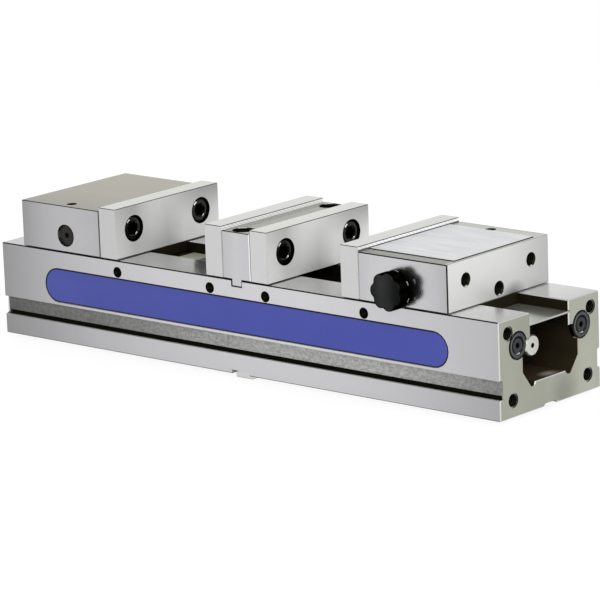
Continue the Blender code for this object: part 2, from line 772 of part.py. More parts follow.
def ball(name, radius, u, z):
    bm = bmesh.new()
    bmesh.ops.create_uvsphere(bm, u_segments=FINE_STEPS, v_segments=FINE_STEPS // 2, radius=radius)
    for vert in bm.verts:
        vert.co += Vector((u, 0, z))
    return solid(name, bm)


def make_half_ball(side, parent, skin):
    # The flat side faces the post across the running gap, and the dome seats in the jaw
    rings = FINE_STEPS // 4
    turns = [math.pi / 2 * i / rings for i in range(rings + 1)]
    profile = [(BALL_RADIUS * math.cos(t), BALL_RADIUS * math.sin(t)) for t in turns[:-1]]
    profile = [(0, RUNNING_GAP)] + [(r, max(h, RUNNING_GAP)) for r, h in profile] + [(0, BALL_RADIUS)]
    half_ball = turned(side + "_half_ball", profile)
    facing = Vector((-1, 0, -1)).normalized()
    return finish(half_ball, skin, parent, (BALL_U, 0, BALL_Z), facing)


def make_nut(side, parent, skin):
    top = way_underside() - RUNNING_GAP
    bottom = cavity_floor() + NUT_FLOOR_GAP
    outline = channel_block(bottom, top)
    shifted = [(y, z - BED_HEIGHT) for y, z in outline]
    nut = prism(side + "_nut", shifted, NUT_FRONT, nut_end(), along_x)
    half = WAY_SLOT_WIDTH / 2 - RUNNING_GAP
    crown = guide_top()
    sunk = top - BED_HEIGHT - RUNNING_GAP
    add(nut, box("guide", (NUT_FRONT + RUNNING_GAP, -half, sunk), (POST_REAR, half, crown)))
    low = (-NOSE_REACH, -half, crown - NOSE_THICKNESS)
    add(nut, box("nose", low, (2 * NUT_FRONT, half, crown)))
    width = POST_WIDTH / 2
    add(nut, prism("post", post_outline(0), -width, width, along_y))
    axis = (0, screw_height() - BED_HEIGHT)
    ends = (NUT_FRONT - CUT_OVERRUN, nut_end() + CUT_OVERRUN)
    cut(nut, rod("bore", SCREW_DIAMETER + 2 * RUNNING_GAP, *ends, along_x, axis, FINE_STEPS))
    return finish(nut, skin, parent)


def channel_block(bottom, top):
    # A block that fills the cavity's section between two heights
    wide = CAVITY_WIDTH / 2 - RUNNING_GAP
    narrow = wall_width(bottom) / 2 - 2 * RUNNING_GAP
    foot = wall_foot() + RUNNING_GAP
    return [(-narrow, bottom), (narrow, bottom), (wide, foot), (wide, top), (-wide, top), (-wide, foot)]


def make_plug(name, turn, parent, skin):
    plug = set_screw(name, PLUG_DIAMETER, PLUG_LENGTH, PLUG_SOCKET)
    spot = (CROSS_HOLE_U, turn * (BED_WIDTH / 2 - PLUG_RECESS), CROSS_HOLE_Z)
    return finish(plug, skin, parent, spot, turn * Y_AXIS)


def make_adjust_screw(side, parent, skin):
    diameter = ADJUST_HOLE_DIAMETER - 2 * RUNNING_GAP
    screw = set_screw(side + "_adjusting_screw", diameter, ADJUST_SCREW_LENGTH, ADJUST_SCREW_SOCKET)
    spot = (POST_REAR + RUNNING_GAP + ADJUST_SCREW_LENGTH, 0, ADJUST_SCREW_Z)
    return finish(screw, skin, parent, spot, X_AXIS)


def make_jaw(side, parent, skins, brake):
    make_jaw_block(side, parent, skins["ground"], brake)
    make_plate(side + "_jaw_plate", parent, skins["ground"])
    for place, turn in jaw_places(side):
        make_plate_screw(f"{side}_plate_screw_{place}", turn, parent, skins["oxide"])
        if turn == 1 or not brake:
            make_plug(f"{side}_jaw_plug_{place}", turn, parent, skins["oxide"])
    make_nut(side, parent, skins["iron"])
    make_half_ball(side, parent, skins["hard"])
    make_adjust_screw(side, parent, skins["oxide"])


def jaw_places(side):
    # The left jaw is turned half a turn, so its local -Y side is at the rear
    if side == "left":
        return (("rear", -1), ("front", 1))
    return (("front", -1), ("rear", 1))


def shoe_y():
    return BED_WIDTH / 2 - SHOE_FROM_SIDE


def knob_outline():
    # One unit-circle outline, scaled by the ring radii of the knob, with a lobe towards local -X
    count = KNOB_LOBES * LOBE_STEPS
    turns = [2 * math.pi * i / count for i in range(count)]
    depth = KNOB_LOBE_DEPTH / (KNOB_DIAMETER / 2)
    waves = [depth * (1 - abs(math.cos(KNOB_LOBES * (t - math.pi) / 2)) ** KNOB_LOBE_POWER) for t in turns]
    return [((1 - w) * math.cos(t), (1 - w) * math.sin(t)) for t, w in zip(turns, waves)]


def make_knob(parent, skin):
    # Local +Z looks out of the jaw's front side, local zero is that side
    radius = KNOB_DIAMETER / 2
    base = RUNNING_GAP + KNOB_COLLAR_HEIGHT
    face = base + KNOB_THICKNESS
    # The edge's middle point lies on the arc at 45 degrees
    inset = KNOB_EDGE_RADIUS * (1 - math.sqrt(0.5))
    rings = [
        (radius - KNOB_EDGE_RADIUS, base),
        (radius, base + KNOB_EDGE_RADIUS),
        (radius, face - KNOB_EDGE_RADIUS),
        (radius - inset, face - inset),
        (radius - KNOB_EDGE_RADIUS, face),
        (radius / 2, face + KNOB_FACE_DOME),
    ]
    bm = bmesh.new()
    outline = knob_outline()
    loops = [[bm.verts.new((r * x, r * y, height)) for x, y in outline] for r, height in rings]
    count = len(outline)
    for lower, upper in zip(loops, loops[1:]):
        for i in range(count):
            j = (i + 1) % count
            bm.faces.new((lower[i], lower[j], upper[j], upper[i]))
    bm.faces.new(loops[0])
    bm.faces.new(loops[-1])
    knob = solid("brake_knob", bm)
    add(knob, rod("collar", KNOB_COLLAR_DIAMETER, RUNNING_GAP, base + KNOB_EDGE_RADIUS, along_z))
    bore = STUD_DIAMETER + 2 * RUNNING_GAP
    depth = RUNNING_GAP + STUD_IN_KNOB + RUNNING_GAP
    cut(knob, rod("bore", bore, -CUT_OVERRUN, depth, along_z))
    return finish(knob, skin, parent, (0, 0, 0), -Y_AXIS)


def make_stud(parent, skin):
    tip = shoe_y() - BED_WIDTH / 2 + STUD_DIAMETER / 2
    radius = STUD_DIAMETER / 2
    end = STUD_TIP_DIAMETER / 2
    stud = turned(
        "brake_stud",
        [
            (0, tip - STUD_CONE_LENGTH),
            (end, tip - STUD_CONE_LENGTH),
            (radius, tip),
            (radius, STUD_IN_KNOB),
            (0, STUD_IN_KNOB),
        ],
    )
    return finish(stud, skin, parent, (0, 0, 0), -Y_AXIS)


def make_shoe(parent, skin):
    # The shoe hangs in the jaw's vertical hole with its wedge face under the stud's cone
    shoe = rod("brake_shoe", SHOE_DIAMETER, 0, SHOE_HEIGHT, along_z)
    cone_foot = CROSS_HOLE_Z - SHOE_LIFT - STUD_DIAMETER / 2
    gap = RUNNING_GAP * math.sqrt(2)
    reach = SHOE_DIAMETER
    start = STUD_DIAMETER / 2 - gap
    # The wedge face climbs at 45 degrees from the cone's foot
    wedge = [
        (-reach - start, cone_foot - reach),
        (reach - start, cone_foot + reach),
        (-reach - start, cone_foot + reach),
    ]
    cut(shoe, prism("wedge", wedge, -SHOE_DIAMETER, SHOE_DIAMETER, wedge_place))
    return finish(shoe, skin, parent)


def wedge_place(a, b, height):
    return height, a, b


def make_centre_jaw(skins):
    half = BED_WIDTH / 2
    thick = CENTRE_BLOCK_THICKNESS / 2
    top = BED_HEIGHT + JAW_HEIGHT
    low = (-thick, -half, BED_HEIGHT + RUNNING_GAP)
    block = box("centre_jaw_block", low, (thick, half, top), JAW_CHAMFER)
    tongue = CENTRE_TONGUE_WIDTH / 2
    low = (-tongue, -half, BED_HEIGHT - CENTRE_TONGUE_DEPTH + RUNNING_GAP)
    add(block, box("tongue", low, (tongue, half, BED_HEIGHT + JAW_HEIGHT / 2)))
    for turn in (-1, 1):
        y, height = plate_screw_spot(turn)
        shank = PLATE_SCREW_SHANK_DIAMETER + 2 * RUNNING_GAP
        past = thick + CUT_OVERRUN
        cut(block, rod("hole", shank, -past, past, along_x, (y, BED_HEIGHT + height)))
        bolt = (0, centre_bolt_y(turn))
        seat = top - CENTRE_COUNTERBORE_DEPTH
        above = top + CUT_OVERRUN
        cut(block, rod("seat", CENTRE_COUNTERBORE_DIAMETER, seat, above, along_z, bolt, FINE_STEPS))
        shank = CENTRE_BOLT_SHANK_DIAMETER + 2 * RUNNING_GAP
        below = BED_HEIGHT - CENTRE_TONGUE_DEPTH - CUT_OVERRUN
        cut(block, rod("hole", shank, below, top, along_z, bolt))
    finish(block, skins["ground"])
    for place, turn in (("front", -1), ("rear", 1)):
        seat = BED_HEIGHT + JAW_HEIGHT - CENTRE_COUNTERBORE_DEPTH + RUNNING_GAP
        bolt = cap_screw(
            "centre_bolt_" + place,
            CENTRE_BOLT_HEAD_DIAMETER,
            CENTRE_BOLT_HEAD_HEIGHT,
            CENTRE_BOLT_SHANK_DIAMETER,
            seat - BED_HEIGHT + CENTRE_BOLT_REACH,
            CENTRE_BOLT_SOCKET,
        )
        finish(bolt, skins["oxide"], None, (0, centre_bolt_y(turn), seat))


def make_centre_plates(skins):
    for side, turn in (("left", -1), ("right", 1)):
        # A centre plate's working face looks outward, so its local X runs back to the middle
        heading = 0 if side == "left" else math.pi
        place = frame(f"centre_{side}_plate_frame", (turn * centre_half(), 0, BED_HEIGHT), heading)
        make_plate(f"centre_{side}_plate", place, skins["ground"])
        for end, way in (("front", -1), ("rear", 1)):
            local = way if side == "left" else -way
            make_plate_screw(f"centre_{side}_screw_{end}", local, place, skins["oxide"])


def make_leadscrew(parent, skin):
    # Local Z runs along the vise's +X
    radius = SCREW_DIAMETER / 2
    end = SCREW_END_DIAMETER / 2
    right_end = BED_LENGTH / 2 - SCREW_END_RECESS
    left_shoulder = BED_LENGTH / 2 - HEX_END_RECESS - HEX_LENGTH
    neck = right_end - SCREW_END_LENGTH
    drill = CENTRE_DRILL_DIAMETER / 2
    screw = turned(
        "leadscrew",
        [
            (0, -left_shoulder),
            (end, -left_shoulder),
            (radius, radius - end - left_shoulder),
            (radius, neck - radius + end),
            (end, neck),
            (end, right_end - SCREW_END_CHAMFER),
            (end - SCREW_END_CHAMFER, right_end),
            (drill, right_end),
            (0, right_end - CENTRE_DRILL_DEPTH),
        ],
    )
    overlap = radius - end
    hexagon_end = prism(
        "hexagon",
        hexagon(HEX_ACROSS_FLATS),
        -left_shoulder - HEX_LENGTH,
        -left_shoulder + overlap,
        along_z,
    )
    add(screw, hexagon_end)
    return finish(screw, skin, parent, (0, 0, 0), X_AXIS)


def bearing_face():
    return BEARING_LENGTH / 2 + RUNNING_GAP


def ring(name, outer, inner, low, high):
    body = rod(name, outer, low, high, along_z, steps=FINE_STEPS)
    bore = rod("bore", inner, low - CUT_OVERRUN, high + CUT_OVERRUN, along_z, steps=FINE_STEPS)
    return cut(body, bore)


def make_screw_bearing(parent, skins):
    bore = SCREW_DIAMETER + 2 * RUNNING_GAP
    for side, turn, length in (("left", -1, LEFT_COLLAR_LENGTH), ("right", 1, RIGHT_COLLAR_LENGTH)):
        ends = sorted((turn * bearing_face(), turn * (bearing_face() + WASHER_THICKNESS)))
        washer = ring(f"{side}_thrust_washer", WASHER_DIAMETER, bore, *ends)
        finish(washer, skins["bronze"], parent, (0, 0, 0), X_AXIS)
        start = bearing_face() + WASHER_THICKNESS + RUNNING_GAP
        ends = sorted((turn * start, turn * (start + length)))
        collar = ring(f"{side}_screw_collar", COLLAR_DIAMETER, bore, *ends)
        finish(collar, skins["oxide"], parent, (0, 0, 0), X_AXIS)
    half = BEARING_LENGTH / 2
    outline = channel_block(cavity_floor() + RUNNING_GAP, way_underside() - RUNNING_GAP)
    block = prism("screw_bearing_block", outline, -half, half, along_x)
    axis = (0, screw_height())
    past = half + CUT_OVERRUN
    cut(block, rod("bore", bore, -past, past, along_x, axis, FINE_STEPS))
    bolt_top = cavity_floor() + RUNNING_GAP + BEARING_BOLT_REACH
    for place, turn in (("front", -1), ("rear", 1)):
        shank = BEARING_BOLT_SHANK_DIAMETER + 2 * RUNNING_GAP
        spot = (0, turn * BEARING_BOLT_Y)
        cut(block, rod("hole", shank, 0, bolt_top + RUNNING_GAP, along_z, spot))
        bolt = cap_screw(
            "bearing_bolt_" + place,
            BEARING_BOLT_HEAD_DIAMETER,
            BEARING_BOLT_HEAD_HEIGHT,
            BEARING_BOLT_SHANK_DIAMETER,
            bolt_top - bearing_head_seat(),
            BEARING_BOLT_SOCKET,
        )
        finish(bolt, skins["oxide"], None, (0, turn * BEARING_BOLT_Y, bearing_head_seat()), -Z_AXIS)
    finish(block, skins["iron"])


def main():
    clear_scene()
    skins = {
        "ground": material("ground_steel", GROUND_STEEL, 0.28, 1.0),
        "bed": material("bed_steel", GROUND_STEEL, 0.32, 1.0),
        "hard": material("hardened_steel", GREY_STEEL, 0.30, 1.0),
        "iron": material("dark_iron", BLACK_OXIDE, 0.55, 0.6),
        "oxide": material("black_oxide", BLACK_OXIDE, 0.38, 0.7),
        "plastic": material("black_plastic", BLACK_PLASTIC, 0.42, 0.0),
        "label": material("label_blue", LABEL_BLUE, 0.40, 0.0),
        "bronze": material("bronze", BRONZE, 0.35, 1.0),
        "bright": material("bright_steel", GROUND_STEEL, 0.25, 1.0),
    }
    make_bed(skins["bed"])
    make_nameplate(skins["label"])
    for side, turn in (("left", math.pi), ("right", 0)):
        end = frame(side + "_end_frame", (0, 0, 0), turn)
        make_cover(side, end, skins["bright"])
        for place, way in jaw_places(side):
            make_stop(side, place, way, end, skins["hard"], skins["oxide"])
    for place, turn in (("front", -1), ("rear", 1)):
        make_key(place, turn, skins["bright"], skins["oxide"])
    make_centre_jaw(skins)
    make_centre_plates(skins)
    screw = frame("leadscrew_frame", (0, 0, screw_height()))
    make_leadscrew(screw, skins["bright"])
    make_screw_bearing(screw, skins)
    left = frame("left_jaw_frame", (-jaw_face(LEFT_JAW_FROM_STOP), 0, BED_HEIGHT), math.pi)
    right = frame("right_jaw_frame", (jaw_face(RIGHT_JAW_FROM_STOP), 0, BED_HEIGHT))
    make_jaw("left", left, skins, brake=False)
    make_jaw("right", right, skins, brake=True)
    knob = frame("brake_frame", (CROSS_HOLE_U, -BED_WIDTH / 2, CROSS_HOLE_Z), 0, right)
    make_knob(knob, skins["plastic"])
    make_stud(knob, skins["oxide"])
    shoe = frame("shoe_frame", (CROSS_HOLE_U, -shoe_y(), SHOE_LIFT), 0, right)
    make_shoe(shoe, skins["bronze"])
    bpy.context.view_layer.update()


main()
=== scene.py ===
import math

import bpy
from mathutils import Matrix, Vector


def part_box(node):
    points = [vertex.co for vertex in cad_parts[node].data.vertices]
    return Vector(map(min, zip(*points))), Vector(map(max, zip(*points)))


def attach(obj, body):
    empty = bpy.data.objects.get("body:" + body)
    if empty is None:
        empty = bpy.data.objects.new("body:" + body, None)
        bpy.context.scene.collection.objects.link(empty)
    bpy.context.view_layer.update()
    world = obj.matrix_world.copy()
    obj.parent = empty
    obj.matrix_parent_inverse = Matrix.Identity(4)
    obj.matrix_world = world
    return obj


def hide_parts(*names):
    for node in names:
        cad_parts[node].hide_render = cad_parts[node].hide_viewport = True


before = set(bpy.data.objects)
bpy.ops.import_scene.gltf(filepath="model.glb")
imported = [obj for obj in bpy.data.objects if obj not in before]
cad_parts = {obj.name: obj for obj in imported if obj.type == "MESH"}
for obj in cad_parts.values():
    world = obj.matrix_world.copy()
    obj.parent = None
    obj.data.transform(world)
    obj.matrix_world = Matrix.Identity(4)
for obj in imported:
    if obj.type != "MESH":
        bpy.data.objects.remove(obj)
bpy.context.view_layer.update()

# Sizes and places shared with the solid model
BED_LENGTH = 0.4318
BED_WIDTH = 0.1032
BED_HEIGHT = 0.0635
JAW_LENGTH = 0.0871  # from the clamping face of its plate to its far end
JAW_HEIGHT = 0.0321
SCREW_HEIGHT = 0.0364
KEY_PROUD = 0.0030
HALF_LENGTH = BED_LENGTH / 2
HALF_WIDTH = BED_WIDTH / 2
JAW_TOP = BED_HEIGHT + JAW_HEIGHT

SIDE_HOLES = (-0.1074, -0.0242, 0.0242, 0.1074)  # along the bed
SIDE_HOLE_HEIGHT = 0.0556
END_HOLES = ((0.0424, 0.0547), (0.0385, 0.0112))  # out from the middle, and the height
JAW_HOLES = ((-0.0333, 0.0188), (0.0333, 0.0188), (0.0, 0.0065))  # across the jaw, and above the bed's top
PLATE_SCREW_OUT, PLATE_SCREW_HEIGHT = 0.0333, 0.0823
CENTRE_BOLT_OUT = 0.0434


# Shader maths in plain expressions


class Signal:
    """A value that changes over a surface, for use in plain arithmetic."""

    def __init__(self, nodes, socket):
        self.nodes = nodes
        self.socket = socket

    def __add__(self, other):
        return self.nodes.maths("ADD", self, other)

    def __mul__(self, other):
        return self.nodes.maths("MULTIPLY", self, other)

    def __sub__(self, other):
        return self.nodes.maths("SUBTRACT", self, other)

    def __rsub__(self, other):
        return self.nodes.maths("SUBTRACT", other, self)

    def __truediv__(self, other):
        return self.nodes.maths("DIVIDE", self, other)

    def __pow__(self, other):
        return self.nodes.maths("POWER", self, other)

    def __abs__(self):
        return self.nodes.maths("ABSOLUTE", self)

    def __gt__(self, other):
        return self.nodes.maths("GREATER_THAN", self, other)

    def __lt__(self, other):
        return self.nodes.maths("LESS_THAN", self, other)

    __radd__ = __add__
    __rmul__ = __mul__


class Nodes:
    """A node tree, with one way to add a node to it."""

    def __init__(self, tree):
        self.tree = tree

    def node(self, kind, settings=None, sockets=None, out=0):
        """Adds a node with its settings, feeds its sockets, and hands over one of its outputs."""
        made = self.tree.nodes.new(kind)
        for key, value in (settings or {}).items():
            if key == "stops":
                self.set_stops(made.color_ramp, value)
            else:
                setattr(made, key, value)
        for key, value in (sockets or {}).items():
            self.feed(made.inputs[key], value)
        return Signal(self, made.outputs[out])

    def set_stops(self, ramp, stops):
        while len(ramp.elements) < len(stops):
            ramp.elements.new(1.0)
        for element, (position, shade) in zip(ramp.elements, stops):
            element.position = position
            element.color = (shade, shade, shade, 1)

    def feed(self, socket, value):
        if isinstance(value, Signal):
            self.tree.links.new(value.socket, socket)
        else:
            socket.default_value = value

    def maths(self, operation, *values):
        return self.node("ShaderNodeMath", {"operation": operation}, dict(enumerate(values)))

    def parts(self, vector):
        return [self.node("ShaderNodeSeparateXYZ", {}, {0: vector}, out=axis) for axis in "XYZ"]

    def ramp(self, value, stops):
        return self.node("ShaderNodeValToRGB", {"stops": stops}, {0: value})

    def blend(self, amount, first, second):
        """Goes from one colour to another, each a plain colour or a link."""
        first, second = ((*colour, 1) if isinstance(colour, tuple) else colour for colour in (first, second))
        return self.node("ShaderNodeMix", {"data_type": "RGBA"}, {0: amount, 6: first, 7: second}, out=2)

    def scaled(self, colour, value):
        return self.node("ShaderNodeVectorMath", {"operation": "SCALE"}, {0: colour, "Scale": value})


def between(value, low, high):
    """One where a value lies between two limits."""
    return (value > low) * (value < high)


class Skin(Nodes):
    """One finish: a Principled shader, and the patterns that feed its colour, metal share and roughness."""

    def __init__(self, name, colour, roughness=0.4, metallic=0.0, **settings):
        self.material = bpy.data.materials.new(name)
        self.material.use_nodes = True
        super().__init__(self.material.node_tree)
        self.shader = self.tree.nodes["Principled BSDF"]
        self.colour, self.rough, self.metal = colour, roughness, metallic
        for socket, value in settings.items():
            self.set(socket.replace("_", " "), value)
        self.place = self.node("ShaderNodeTexCoord", out="Object")
        self.x, self.y, self.z = self.parts(self.place)
        self.nx, self.ny, self.nz = self.parts(self.node("ShaderNodeNewGeometry", out="True Normal"))

    def set(self, socket, value):
        self.feed(self.shader.inputs[socket], value)

    def noise(self, scale, detail=2.0, roughness=0.5, spread=(1, 1, 1)):
        """Noise on the piece's own coordinates, squeezed along each axis by the spread."""
        squeezed = self.node("ShaderNodeMapping", {}, {"Vector": self.place, "Scale": spread})
        sockets = {"Vector": squeezed, "Scale": scale, "Detail": detail, "Roughness": roughness}
        return self.node("ShaderNodeTexNoise", {}, sockets)

    def along(self, value, low, high, *shades):
        """Evenly spaced shades between two places along an axis."""
        stops = [(index / (len(shades) - 1), shade) for index, shade in enumerate(shades)]
        return self.ramp((value - low) / (high - low), stops)

    def bump(self, height, strength, distance):
        sockets = {"Height": height, "Strength": strength, "Distance": distance}
        self.set("Normal", self.node("ShaderNodeBump", {}, sockets))

    def paint(self, mask, colour=None, metallic=None, roughness=None):
        """Gives the surface under a mask its own colour, metal share or roughness."""
        if colour is not None:
            self.colour = self.blend(mask, self.colour, colour)
        if metallic is not None:
            self.metal = self.metal + mask * (metallic - self.metal)
        if roughness is not None:
            self.rough = self.rough + mask * (roughness - self.rough)

    def blacken(self, mask):
        """Paints black a hollow in shade, a seam, or a bevel line that stands for a dark reflection: dark metal
        stays dark in any light.
        """
        self.paint(mask, DARK_LINE, 1.0, 0.5)

    def shade(self, mask, share):
        """Multiplies the colour under a mask by a share."""
        self.colour = self.scaled(self.colour, 1 + mask * (share - 1))

    def near(self, first, second, radius):
        """One inside a circle round the place where both values are zero."""
        return (first * first + second * second) < radius * radius

    def spot(self, first, second, radius, soft):
        """One in the middle of a round spot, falling to nothing over a soft rim."""
        away = (first * first + second * second) ** 0.5
        return self.node("ShaderNodeClamp", {}, {"Value": (radius + soft - away) / soft})

    def lower_rim(self):
        """The part of a countersink that looks up and inward, which catches the light."""
        return between(abs(self.nx), 0.2, 0.95) * (self.nz * 0.85 + self.ny * 0.4 > 0.50)

    def upper_rim(self):
        """The part of a head's rounded edge that looks up and to the side, faint on its outer half."""
        outer_half = abs(self.nx) < 0.93
        slope = between(abs(self.nx), 0.80, 0.985) * (1 - outer_half * 0.75)
        across = (1 - self.nx * self.nx) ** 0.5
        return slope * (self.nz * 0.80 - self.ny * 0.60 > across * 0.970)

    def finish(self, wear):
        """Links what was painted to the shader, its colour times the wear, and hands over the material."""
        self.set("Base Color", self.scaled(self.colour, wear))
        self.set("Roughness", self.rough)
        self.set("Metallic", self.metal)
        return self.material


# Finishes

LILAC_STEEL = (0.640, 0.632, 0.646)
WHITE_STEEL = (0.620, 0.615, 0.615)
WARM_STEEL = (0.250, 0.237, 0.162)
PALE_STEEL = (0.700, 0.700, 0.665)
OLIVE_STEEL = (0.365, 0.375, 0.315)
GREEN_STEEL = (0.500, 0.510, 0.400)
BLUE_STEEL = (0.060, 0.071, 0.073)
# Painted shade and highlight: black for hollows, seams and bevels that mirror something dark, white for bright
# bevels and glints
DARK_LINE = (0.012, 0.012, 0.009)
BRIGHT_LINE = (0.950, 0.950, 0.950)
RUST = (0.200, 0.055, 0.025)
# Painted shade for the side grooves' undercut and ledge
UNDERCUT_SHADE = (0.018, 0.016, 0.010)
BLACK_OXIDE = (0.014, 0.013, 0.010)
# A paler oxide for the screw heads' flat ring, painted as sheen
RING_SHEEN_OXIDE = (0.027, 0.027, 0.022)
SHADOW_BROWN = (0.024, 0.020, 0.0105)
KNOB_BLACK = (0.004, 0.004, 0.005)
LABEL_BLUE = (0.052, 0.066, 0.325)
BRONZE = (0.55, 0.38, 0.19)

# Noise spreads for wheel marks that run along an axis
MARKS_ALONG_X = (12, 1100, 1100)
MARKS_ALONG_Y = (1100, 12, 1100)

# Limits of masks that several finishes share, each close beside the face that it is for
SIDE_BEVEL = 0.0509
BELOW_JAW_TOP = JAW_TOP - 0.0004
ABOVE_BED_TOP = BED_HEIGHT + 0.0002
OIL_HOLE_RADIUS = 0.0036


class GroundSteel(Skin):
    """Surface-ground steel, with a colour for its sides, its upper faces and its end faces: painted lit and
    shaded versions of one steel, chosen by which way a face looks.
    """

    def __init__(self, name, side, top, end, roughness=0.22, metallic=0.85, marked=0.12):
        super().__init__(name, side, roughness, metallic)
        self.up = self.nz > 0.9
        self.sideways = abs(self.ny) > 0.9
        self.endways = abs(self.nx) > 0.9
        self.off_ends = 1 - self.endways
        tilted_x, tilted_y, tilted_z = (abs(part) > 0.3 for part in (self.nx, self.ny, self.nz))
        self.long_edge = tilted_y * tilted_z
        self.cross_edge = tilted_x * tilted_z
        self.upright_edge = tilted_x * tilted_y
        # Painted light: the upper faces and the end faces get their own lit or shaded colour
        self.paint(self.up, top)
        self.paint(self.endways, end)
        self.lines = self.grind_marks()
        self.cloud = self.noise(30.0, 3.0, 0.55)
        self.rough = roughness + (self.lines - 0.5) * marked + (self.cloud - 0.5) * 0.06
        self.bump(self.lines, marked * 0.16, 0.0001)

    def grind_marks(self):
        """Fine parallel wheel marks: along Y on the faces that look along X, and along X on all others."""
        across, lengthwise = (self.noise(1.0, 3.0, 0.6, spread) for spread in (MARKS_ALONG_Y, MARKS_ALONG_X))
        return lengthwise + (abs(self.nx) > 0.7) * (across - lengthwise)

    def lengthwise(self, *shades):
        """Evenly spaced shades from the bed's left end to its right end."""
        return self.along(self.x, -HALF_LENGTH, HALF_LENGTH, *shades)

    def crosswise(self, *shades):
        """Evenly spaced shades from the front of the vise to its rear."""
        return self.along(self.y, -HALF_WIDTH, HALF_WIDTH, *shades)

    def worn_and_lit(self, lines=0.05, cloud=0.10):
        return self.finish(1 + (self.lines - 0.5) * lines + (self.cloud - 0.5) * cloud)


def bed_steel():
    skin = GroundSteel("bed_ground_steel", LILAC_STEEL, WHITE_STEEL, OLIVE_STEEL, 0.24)
    shade_bed_sides(skin)
    paint_side_grooves(skin)
    polish_ways(skin)
    mottle_and_shade_bed_ends(skin)
    darken_bed_slot(skin)
    line_bed_edges(skin)
    blacken_bed_holes(skin)
    return skin.worn_and_lit(0.04, 0.06)


def shade_bed_sides(skin):
    """Painted shading on the sides: palest past their middle, and a little darker on the band below the groove.
    """
    groove_middle = 0.0200
    upper = skin.lengthwise(0.46, 0.66, 0.80, 0.875, 0.92, 0.94, 0.96, 0.94, 0.87, 0.81, 0.71)
    lower = skin.lengthwise(0.42, 0.54, 0.70, 0.80, 0.85, 0.89, 0.89, 0.87, 0.81, 0.71, 0.58)
    skin.shade(skin.sideways, lower + (skin.z > groove_middle) * (upper - lower))


def paint_side_grooves(skin):
    """The rough-milled wall of the groove with painted shading along it, the undercut below it and the ledge
    painted black as shade, and the ledge's rim painted pale as a reflection.
    """
    depth, z = abs(skin.y), skin.z
    wall_depths, wall_heights = (0.0470, 0.0490), (0.0160, 0.0261)
    undercut_back, undercut_mouth = 0.0400, 0.0476
    undercut_heights = (0.0133, 0.0161)
    ledge_height, rim_start = 0.0140, 0.0497
    mill = skin.noise(1.0, 3.0, 0.75, (420, 700, 700))
    # Painted shading along the groove's wall, darker towards both ends
    light = skin.lengthwise(0.09, 0.13, 0.16, 0.22, 0.28, 0.33, 0.36, 0.36, 0.35, 0.29, 0.20)
    wall = skin.sideways * between(depth, *wall_depths) * between(z, *wall_heights)
    skin.paint(wall, skin.scaled((1.0, 1.0, 0.96), light * (0.05 + mill * 1.90)), 0.35, 0.5)
    undercut = between(depth, undercut_back, undercut_mouth) * between(z, *undercut_heights) * skin.off_ends
    skin.paint(undercut, UNDERCUT_SHADE, 1.0, 0.8)
    ledge = skin.up * (depth > undercut_mouth) * (z < ledge_height)
    skin.paint(ledge, UNDERCUT_SHADE, 1.0, 0.8)
    skin.paint(ledge * (depth > rim_start), (0.42, 0.42, 0.41), 0.2, 0.5)


def polish_ways(skin):
    """The ways are ground almost to a mirror, and duller towards the right end, with painted shading along each
    opening and along the right end, darker at its rear.
    """
    x = skin.x
    above_channel, beside_centre, end_part = 0.0600, 0.0200, 0.1200
    left_opening, right_opening, right_end = (-0.1100, -0.0250), (0.0250, 0.0900), (0.1700, 0.2160)
    way = skin.up * (skin.z > above_channel)
    skin.paint(way, None, 0.88, 0.13)
    skin.paint(way * (x > end_part), None, 0.60, 0.24)
    skin.shade(way * (x < -beside_centre), skin.along(x, *left_opening, 0.78, 0.92, 0.98, 0.90, 0.45))
    right_part = way * between(x, beside_centre, end_part)
    skin.shade(right_part, skin.along(x, *right_opening, 0.92, 1.0, 1.04, 1.0, 0.85))
    skin.shade(way * (x > end_part), skin.along(x, *right_end, 1.12, 1.15, 1.05, 0.90))
    skin.shade(way * (x > end_part) * (skin.y > 0), 0.88)


def mottle_and_shade_bed_ends(skin):
    """Soft mottling on the end faces, painted shading across them, and one darker round spot low under the
    channel.
    """
    low_spot_y, low_spot_height, low_spot_radius, low_spot_rim = 0.0130, 0.0060, 0.0040, 0.0120
    skin.shade(skin.endways, 0.70 + skin.noise(20.0, 2.0, 0.5, (1, 1, 0.6)) * 0.55)
    skin.shade(skin.endways, skin.crosswise(0.96, 0.92, 0.92, 1.0, 1.10, 1.12))
    low_spot = skin.spot(skin.y - low_spot_y, skin.z - low_spot_height, low_spot_radius, low_spot_rim)
    skin.shade(skin.endways, 1 - low_spot * 0.25)


def darken_bed_slot(skin):
    """The slot and the channel are painted in shadow, but for a painted highlight on the channel's floor at the
    right end.
    """
    x, y, z, depth = skin.x, skin.y, skin.z, abs(skin.y)
    slot_depth, slot_heights, channel_roof = 0.0296, (0.0120, 0.0628), 0.0465
    floor_depth, floor_height = 0.0290, 0.0190
    spot_x, spot_y, spot_radius, spot_rim = 0.2105, 0.0045, 0.0010, 0.0060
    inside = (depth < slot_depth) * between(z, *slot_heights) * skin.off_ends
    skin.paint(inside, SHADOW_BROWN, 1.0, 0.8)
    skin.paint(inside * (z < channel_roof), (0.068, 0.052, 0.029), 1.0, 0.8)
    floor = (z < floor_height) * (depth < floor_depth) * skin.off_ends
    # A painted highlight on the channel's floor near the right end's mouth
    worn_and_lit = skin.spot(x - spot_x, (y - spot_y) * 0.7, spot_radius, spot_rim)
    skin.paint(worn_and_lit * floor, (0.30, 0.28, 0.23), 0.0, 0.5)


